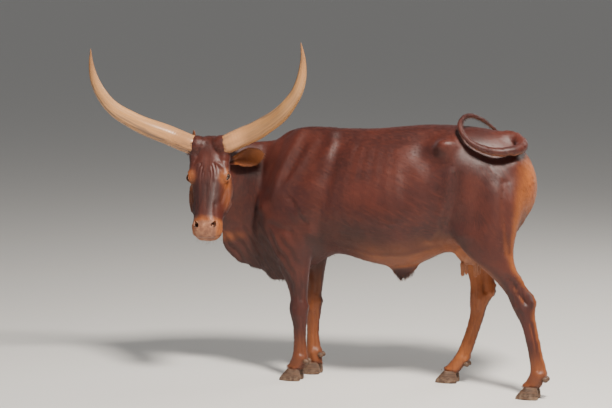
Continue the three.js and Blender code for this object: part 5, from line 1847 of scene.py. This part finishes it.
def node(tree, kind, settings=None, **inputs):
    """A node with settings, and inputs given as a value or as a socket to link."""
    made = tree.nodes.new(kind)
    for key, value in (settings or {}).items():
        setattr(made, key, value)
    for key, value in inputs.items():
        socket = made.inputs[int(key[1:])] if key[0] == "i" and key[1:].isdigit() else made.inputs[key]
        if isinstance(value, bpy.types.NodeSocket):
            tree.links.new(value, socket)
        else:
            socket.default_value = value
    return made


def attribute(tree, name):
    """The attribute node of a mesh attribute."""
    return node(tree, "ShaderNodeAttribute", {"attribute_name": name})


def mixed(tree, share, first, second, blend="MIX"):
    """The colour socket of first and second mixed by share."""
    made = tree.nodes.new("ShaderNodeMix")
    made.data_type = "RGBA"
    made.blend_type = blend
    for index, value in ((0, share), (6, first), (7, second)):
        if isinstance(value, bpy.types.NodeSocket):
            tree.links.new(value, made.inputs[index])
        else:
            made.inputs[index].default_value = value
    return made.outputs[2]


def maths(tree, operation, a, b=0.5, clamp=False):
    """The value socket of a sum, product or other operation."""
    return node(tree, "ShaderNodeMath", {"operation": operation, "use_clamp": clamp}, i0=a, i1=b).outputs[0]


def ranged(tree, value, low, high, new_low=0.0, new_high=1.0):
    """Value remapped from low..high to new_low..new_high with a smooth S."""
    return node(tree, "ShaderNodeMapRange", {"interpolation_type": "SMOOTHSTEP"},
                Value=value, i1=low, i2=high, i3=new_low, i4=new_high).outputs[0]


def noise(tree, vector, scale, detail=3.0, rough=0.5):
    """The value socket of a noise."""
    return node(tree, "ShaderNodeTexNoise", None, Vector=vector, Scale=scale, Detail=detail,
                Roughness=rough).outputs[0]


def bumped(tree, shader, strength, distance, height):
    """Feeds a height to the shader's normal through a Bump node."""
    bump = node(tree, "ShaderNodeBump", None, Strength=strength, Distance=distance, Height=height)
    tree.links.new(bump.outputs[0], shader.inputs["Normal"])


print("hair pieces waiting for a material:", len(hair_pieces))

# %% [markdown]
# The coat group is used by the skin and by every tuft. It mixes three hair colours by the
# masks, the near-black one also standing for painted shade, then breaks them up three ways: in
# long streaks, in patches the size of a hand, and in the fine speckle of single hairs. Its
# height output is what the bump reads.

# %% Coat group
def coat_group():
    """A node group from masks and a combed place to hair colour and height."""
    group = bpy.data.node_groups.new("coat", "ShaderNodeTree")
    for name, way, kind in (("Comb", "INPUT", "Vector"), ("Pale", "INPUT", "Float"),
                            ("Dark", "INPUT", "Float"), ("Color", "OUTPUT", "Color"),
                            ("Height", "OUTPUT", "Float")):
        group.interface.new_socket(name, in_out=way, socket_type="NodeSocket" + kind)
    given = group.nodes.new("NodeGroupInput").outputs
    result = group.nodes.new("NodeGroupOutput")
    place = node(group, "ShaderNodeTexCoord").outputs["Object"]
    fine = noise(group, given["Comb"], 330.0, 2.0)
    long_streaks = noise(group, given["Comb"], 75.0, 3.0)
    ripple = noise(group, place, 26.0, 3.0, 0.45)
    patches = noise(group, place, 5.5, 2.0)
    base = mixed(group, ranged(group, patches, 0.35, 0.68),
                 (0.034, 0.0058, 0.0038, 1), (0.064, 0.0108, 0.0052, 1))
    # Near black by the Dark mask: painted shade on the chest, and darker hair on the nose bridge and low on
    # the legs.
    base = mixed(group, given["Dark"], base, (0.026, 0.0062, 0.0042, 1))
    tan = mixed(group, ranged(group, patches, 0.3, 0.7), (0.30, 0.080, 0.017, 1), (0.42, 0.130, 0.030, 1))
    base = mixed(group, given["Pale"], base, tan)
    light = maths(group, "MULTIPLY_ADD", fine, 0.55)
    light.node.inputs[2].default_value = 0.72
    base = mixed(group, 1.0, base, node(group, "ShaderNodeCombineColor", None, Red=light, Green=light,
                                        Blue=light).outputs[0], "MULTIPLY")
    streak_share = ranged(group, long_streaks, 0.42, 0.75, 0.0, 0.34)
    base = mixed(group, streak_share, base, (0.105, 0.021, 0.0095, 1))
    group.links.new(base, result.inputs["Color"])
    height = maths(group, "MULTIPLY", fine, 0.30)
    height = maths(group, "ADD", height, maths(group, "MULTIPLY", long_streaks, 0.55))
    height = maths(group, "ADD", height, maths(group, "MULTIPLY", ripple, 1.25))
    group.links.new(height, result.inputs["Height"])
    return group


coat = coat_group()


def coat_nodes(tree):
    """The coat group in a material's tree, fed by the mesh's masks; its outputs."""
    made = tree.nodes.new("ShaderNodeGroup")
    made.node_tree = coat
    tree.links.new(attribute(tree, "comb").outputs["Vector"], made.inputs["Comb"])
    tree.links.new(attribute(tree, "pale").outputs["Fac"], made.inputs["Pale"])
    tree.links.new(attribute(tree, "dark").outputs["Fac"], made.inputs["Dark"])
    return made.outputs["Color"], made.outputs["Height"]


print("coat group:", len(coat.nodes), "nodes")

# %% [markdown]
# The hide is the coat where there is hair, and damp pebbled skin where there is none. The
# bare mask mixes both the colour and the height. A little sheen greys the coat at a grazing
# angle, as short hair does against the sky.

# %% Hide and hair
hide, tree, shader = new_material("hide", 0.50, 0.42)
shader.inputs["Sheen Weight"].default_value = 0.05
shader.inputs["Sheen Roughness"].default_value = 0.45
shader.inputs["Sheen Tint"].default_value = (0.85, 0.80, 0.88, 1)
colour, height = coat_nodes(tree)
bare_mask = attribute(tree, "bare").outputs["Fac"]
place = node(tree, "ShaderNodeTexCoord").outputs["Object"]
pebbles = node(tree, "ShaderNodeTexVoronoi", None, Vector=place, Scale=230.0).outputs["Distance"]
blotches = noise(tree, place, 42.0, 3.0)
bare_colour = mixed(tree, ranged(tree, blotches, 0.35, 0.65),
                    (0.34, 0.150, 0.080, 1), (0.19, 0.075, 0.042, 1))
# Bare skin goes near black by the dark mask: painted shade in the mouth, the nostrils and the lids.
dark_mask = attribute(tree, "dark").outputs["Fac"]
bare_colour = mixed(tree, dark_mask, bare_colour, (0.016, 0.008, 0.006, 1))
tree.links.new(mixed(tree, bare_mask, colour, bare_colour), shader.inputs["Base Color"])
skin_height = maths(tree, "MULTIPLY", pebbles, 0.7)
both = node(tree, "ShaderNodeMix", None, i0=bare_mask, i2=height, i3=skin_height)
bumped(tree, shader, 0.55, 0.0028, both.outputs[0])
skin.data.materials.append(hide)

hair_finish, tree, shader = new_material("coat_hair", 0.46, 0.40)
shader.inputs["Sheen Weight"].default_value = 0.10
shader.inputs["Sheen Tint"].default_value = (0.85, 0.80, 0.88, 1)
colour, _ = coat_nodes(tree)
tree.links.new(colour, shader.inputs["Base Color"])
for piece in hair_pieces:
    piece.data.materials.append(hair_finish)
print("hide on the skin, coat hair on", len(hair_pieces), "pieces")

# %% [markdown]
# The eye is nearly black from a distance. Close up it has a level slot of a pupil, a brown
# iris with fine spokes, and a dark rim. The gloss comes from a clear coat of its own.

# %% Eye
eye_finish, tree, shader = new_material("eye", 0.06, 0.6)
shader.inputs["Coat Weight"].default_value = 1.0
shader.inputs["Coat Roughness"].default_value = 0.02
gaze = node(tree, "ShaderNodeSeparateXYZ", None, Vector=attribute(tree, "gaze").outputs["Vector"])


def off_centre(u, v):
    """The value socket of the root of u squared plus v squared."""
    squares = maths(tree, "MULTIPLY", u, u), maths(tree, "MULTIPLY", v, v)
    return maths(tree, "SQRT", maths(tree, "ADD", *squares))


slot = off_centre(gaze.outputs[0], maths(tree, "MULTIPLY", gaze.outputs[1], 2.1))
radius = off_centre(gaze.outputs[0], gaze.outputs[1])
spokes = noise(tree, attribute(tree, "gaze").outputs["Vector"], 14.0, 3.0)
iris = mixed(tree, spokes, (0.030, 0.012, 0.006, 1), (0.085, 0.038, 0.016, 1))
iris = mixed(tree, ranged(tree, slot, 0.36, 0.44), (0.002, 0.002, 0.004, 1), iris)
iris = mixed(tree, ranged(tree, radius, 0.56, 0.68), iris, (0.012, 0.007, 0.005, 1))
white = mixed(tree, ranged(tree, radius, 0.80, 0.90), iris, (0.34, 0.26, 0.22, 1))
tree.links.new(white, shader.inputs["Base Color"])
for eye in eyes:
    eye.data.materials.append(eye_finish)
print("eye finish on", len(eyes), "pieces")

# %% [markdown]
# Horn is laid down in fibres, so its streaks run lengthwise: the noise reads the share of the
# length squeezed and the angle round it stretched. The root is tan, the shaft cream with grey
# flakes that crowd on its underside as painted shade, and the last fifth darkens to a worn brown tip.

# %% Horn and claw
horn_finish, tree, shader = new_material("horn", 0.38, 0.5)
grain = attribute(tree, "grain").outputs["Vector"]
parts = node(tree, "ShaderNodeSeparateXYZ", None, Vector=grain)
share = parts.outputs[0]
stretched = node(tree, "ShaderNodeMapping", None, Vector=grain, Scale=(3.0, 2.4, 2.4)).outputs[0]
fibre_place = node(tree, "ShaderNodeMapping", None, Vector=grain, Scale=(2.5, 26.0, 26.0)).outputs[0]
streaks = noise(tree, stretched, 1.6, 4.0, 0.6)
fibres = noise(tree, fibre_place, 1.0, 3.0)
cream = mixed(tree, ranged(tree, fibres, 0.3, 0.7), (0.42, 0.185, 0.060, 1), (0.54, 0.285, 0.115, 1))
root = mixed(tree, ranged(tree, share, 0.06, 0.42), (0.42, 0.20, 0.085, 1), cream)
# Grey flakes run all along the shaft, and more of them on its underside: painted shade.
under = ranged(tree, maths(tree, "MULTIPLY", parts.outputs[2], -1.0), 0.05, 0.85, 0.0, 0.62)
grey_share = maths(tree, "MULTIPLY", ranged(tree, streaks, 0.46, 0.58), maths(tree, "ADD", under, 0.22))
shaft = mixed(tree, grey_share, root, (0.135, 0.085, 0.058, 1))
worn = mixed(tree, ranged(tree, share, 0.72, 0.97, 0.0, 0.85), shaft, (0.23, 0.105, 0.045, 1))
tree.links.new(worn, shader.inputs["Base Color"])
fibre_height = maths(tree, "ADD", maths(tree, "MULTIPLY", fibres, 0.5), streaks)
bumped(tree, shader, 0.35, 0.0016, fibre_height)
for piece in horns:
    piece.data.materials.append(horn_finish)

claw_finish, tree, shader = new_material("claw", 0.55, 0.4)
grain = attribute(tree, "grain").outputs["Vector"]
banded = node(tree, "ShaderNodeMapping", None, Vector=grain, Scale=(260.0, 18.0, 18.0)).outputs[0]
bands = noise(tree, banded, 1.0, 3.0)
dirt = noise(tree, node(tree, "ShaderNodeTexCoord").outputs["Object"], 55.0, 4.0)
wall = mixed(tree, ranged(tree, bands, 0.35, 0.65), (0.055, 0.029, 0.018, 1), (0.130, 0.068, 0.040, 1))
low = node(tree, "ShaderNodeSeparateXYZ", None, Vector=grain).outputs[0]
dusty = maths(tree, "MULTIPLY", ranged(tree, dirt, 0.4, 0.65), ranged(tree, low, 0.045, 0.0, 0.15, 0.85))
wall = mixed(tree, dusty, wall, (0.24, 0.155, 0.10, 1))
tree.links.new(wall, shader.inputs["Base Color"])
claw_height = maths(tree, "ADD", bands, dirt)
bumped(tree, shader, 0.5, 0.0012, claw_height)
for piece in claws:
    piece.data.materials.append(claw_finish)
print("horn finish on", len(horns), "pieces, claw finish on", len(claws))
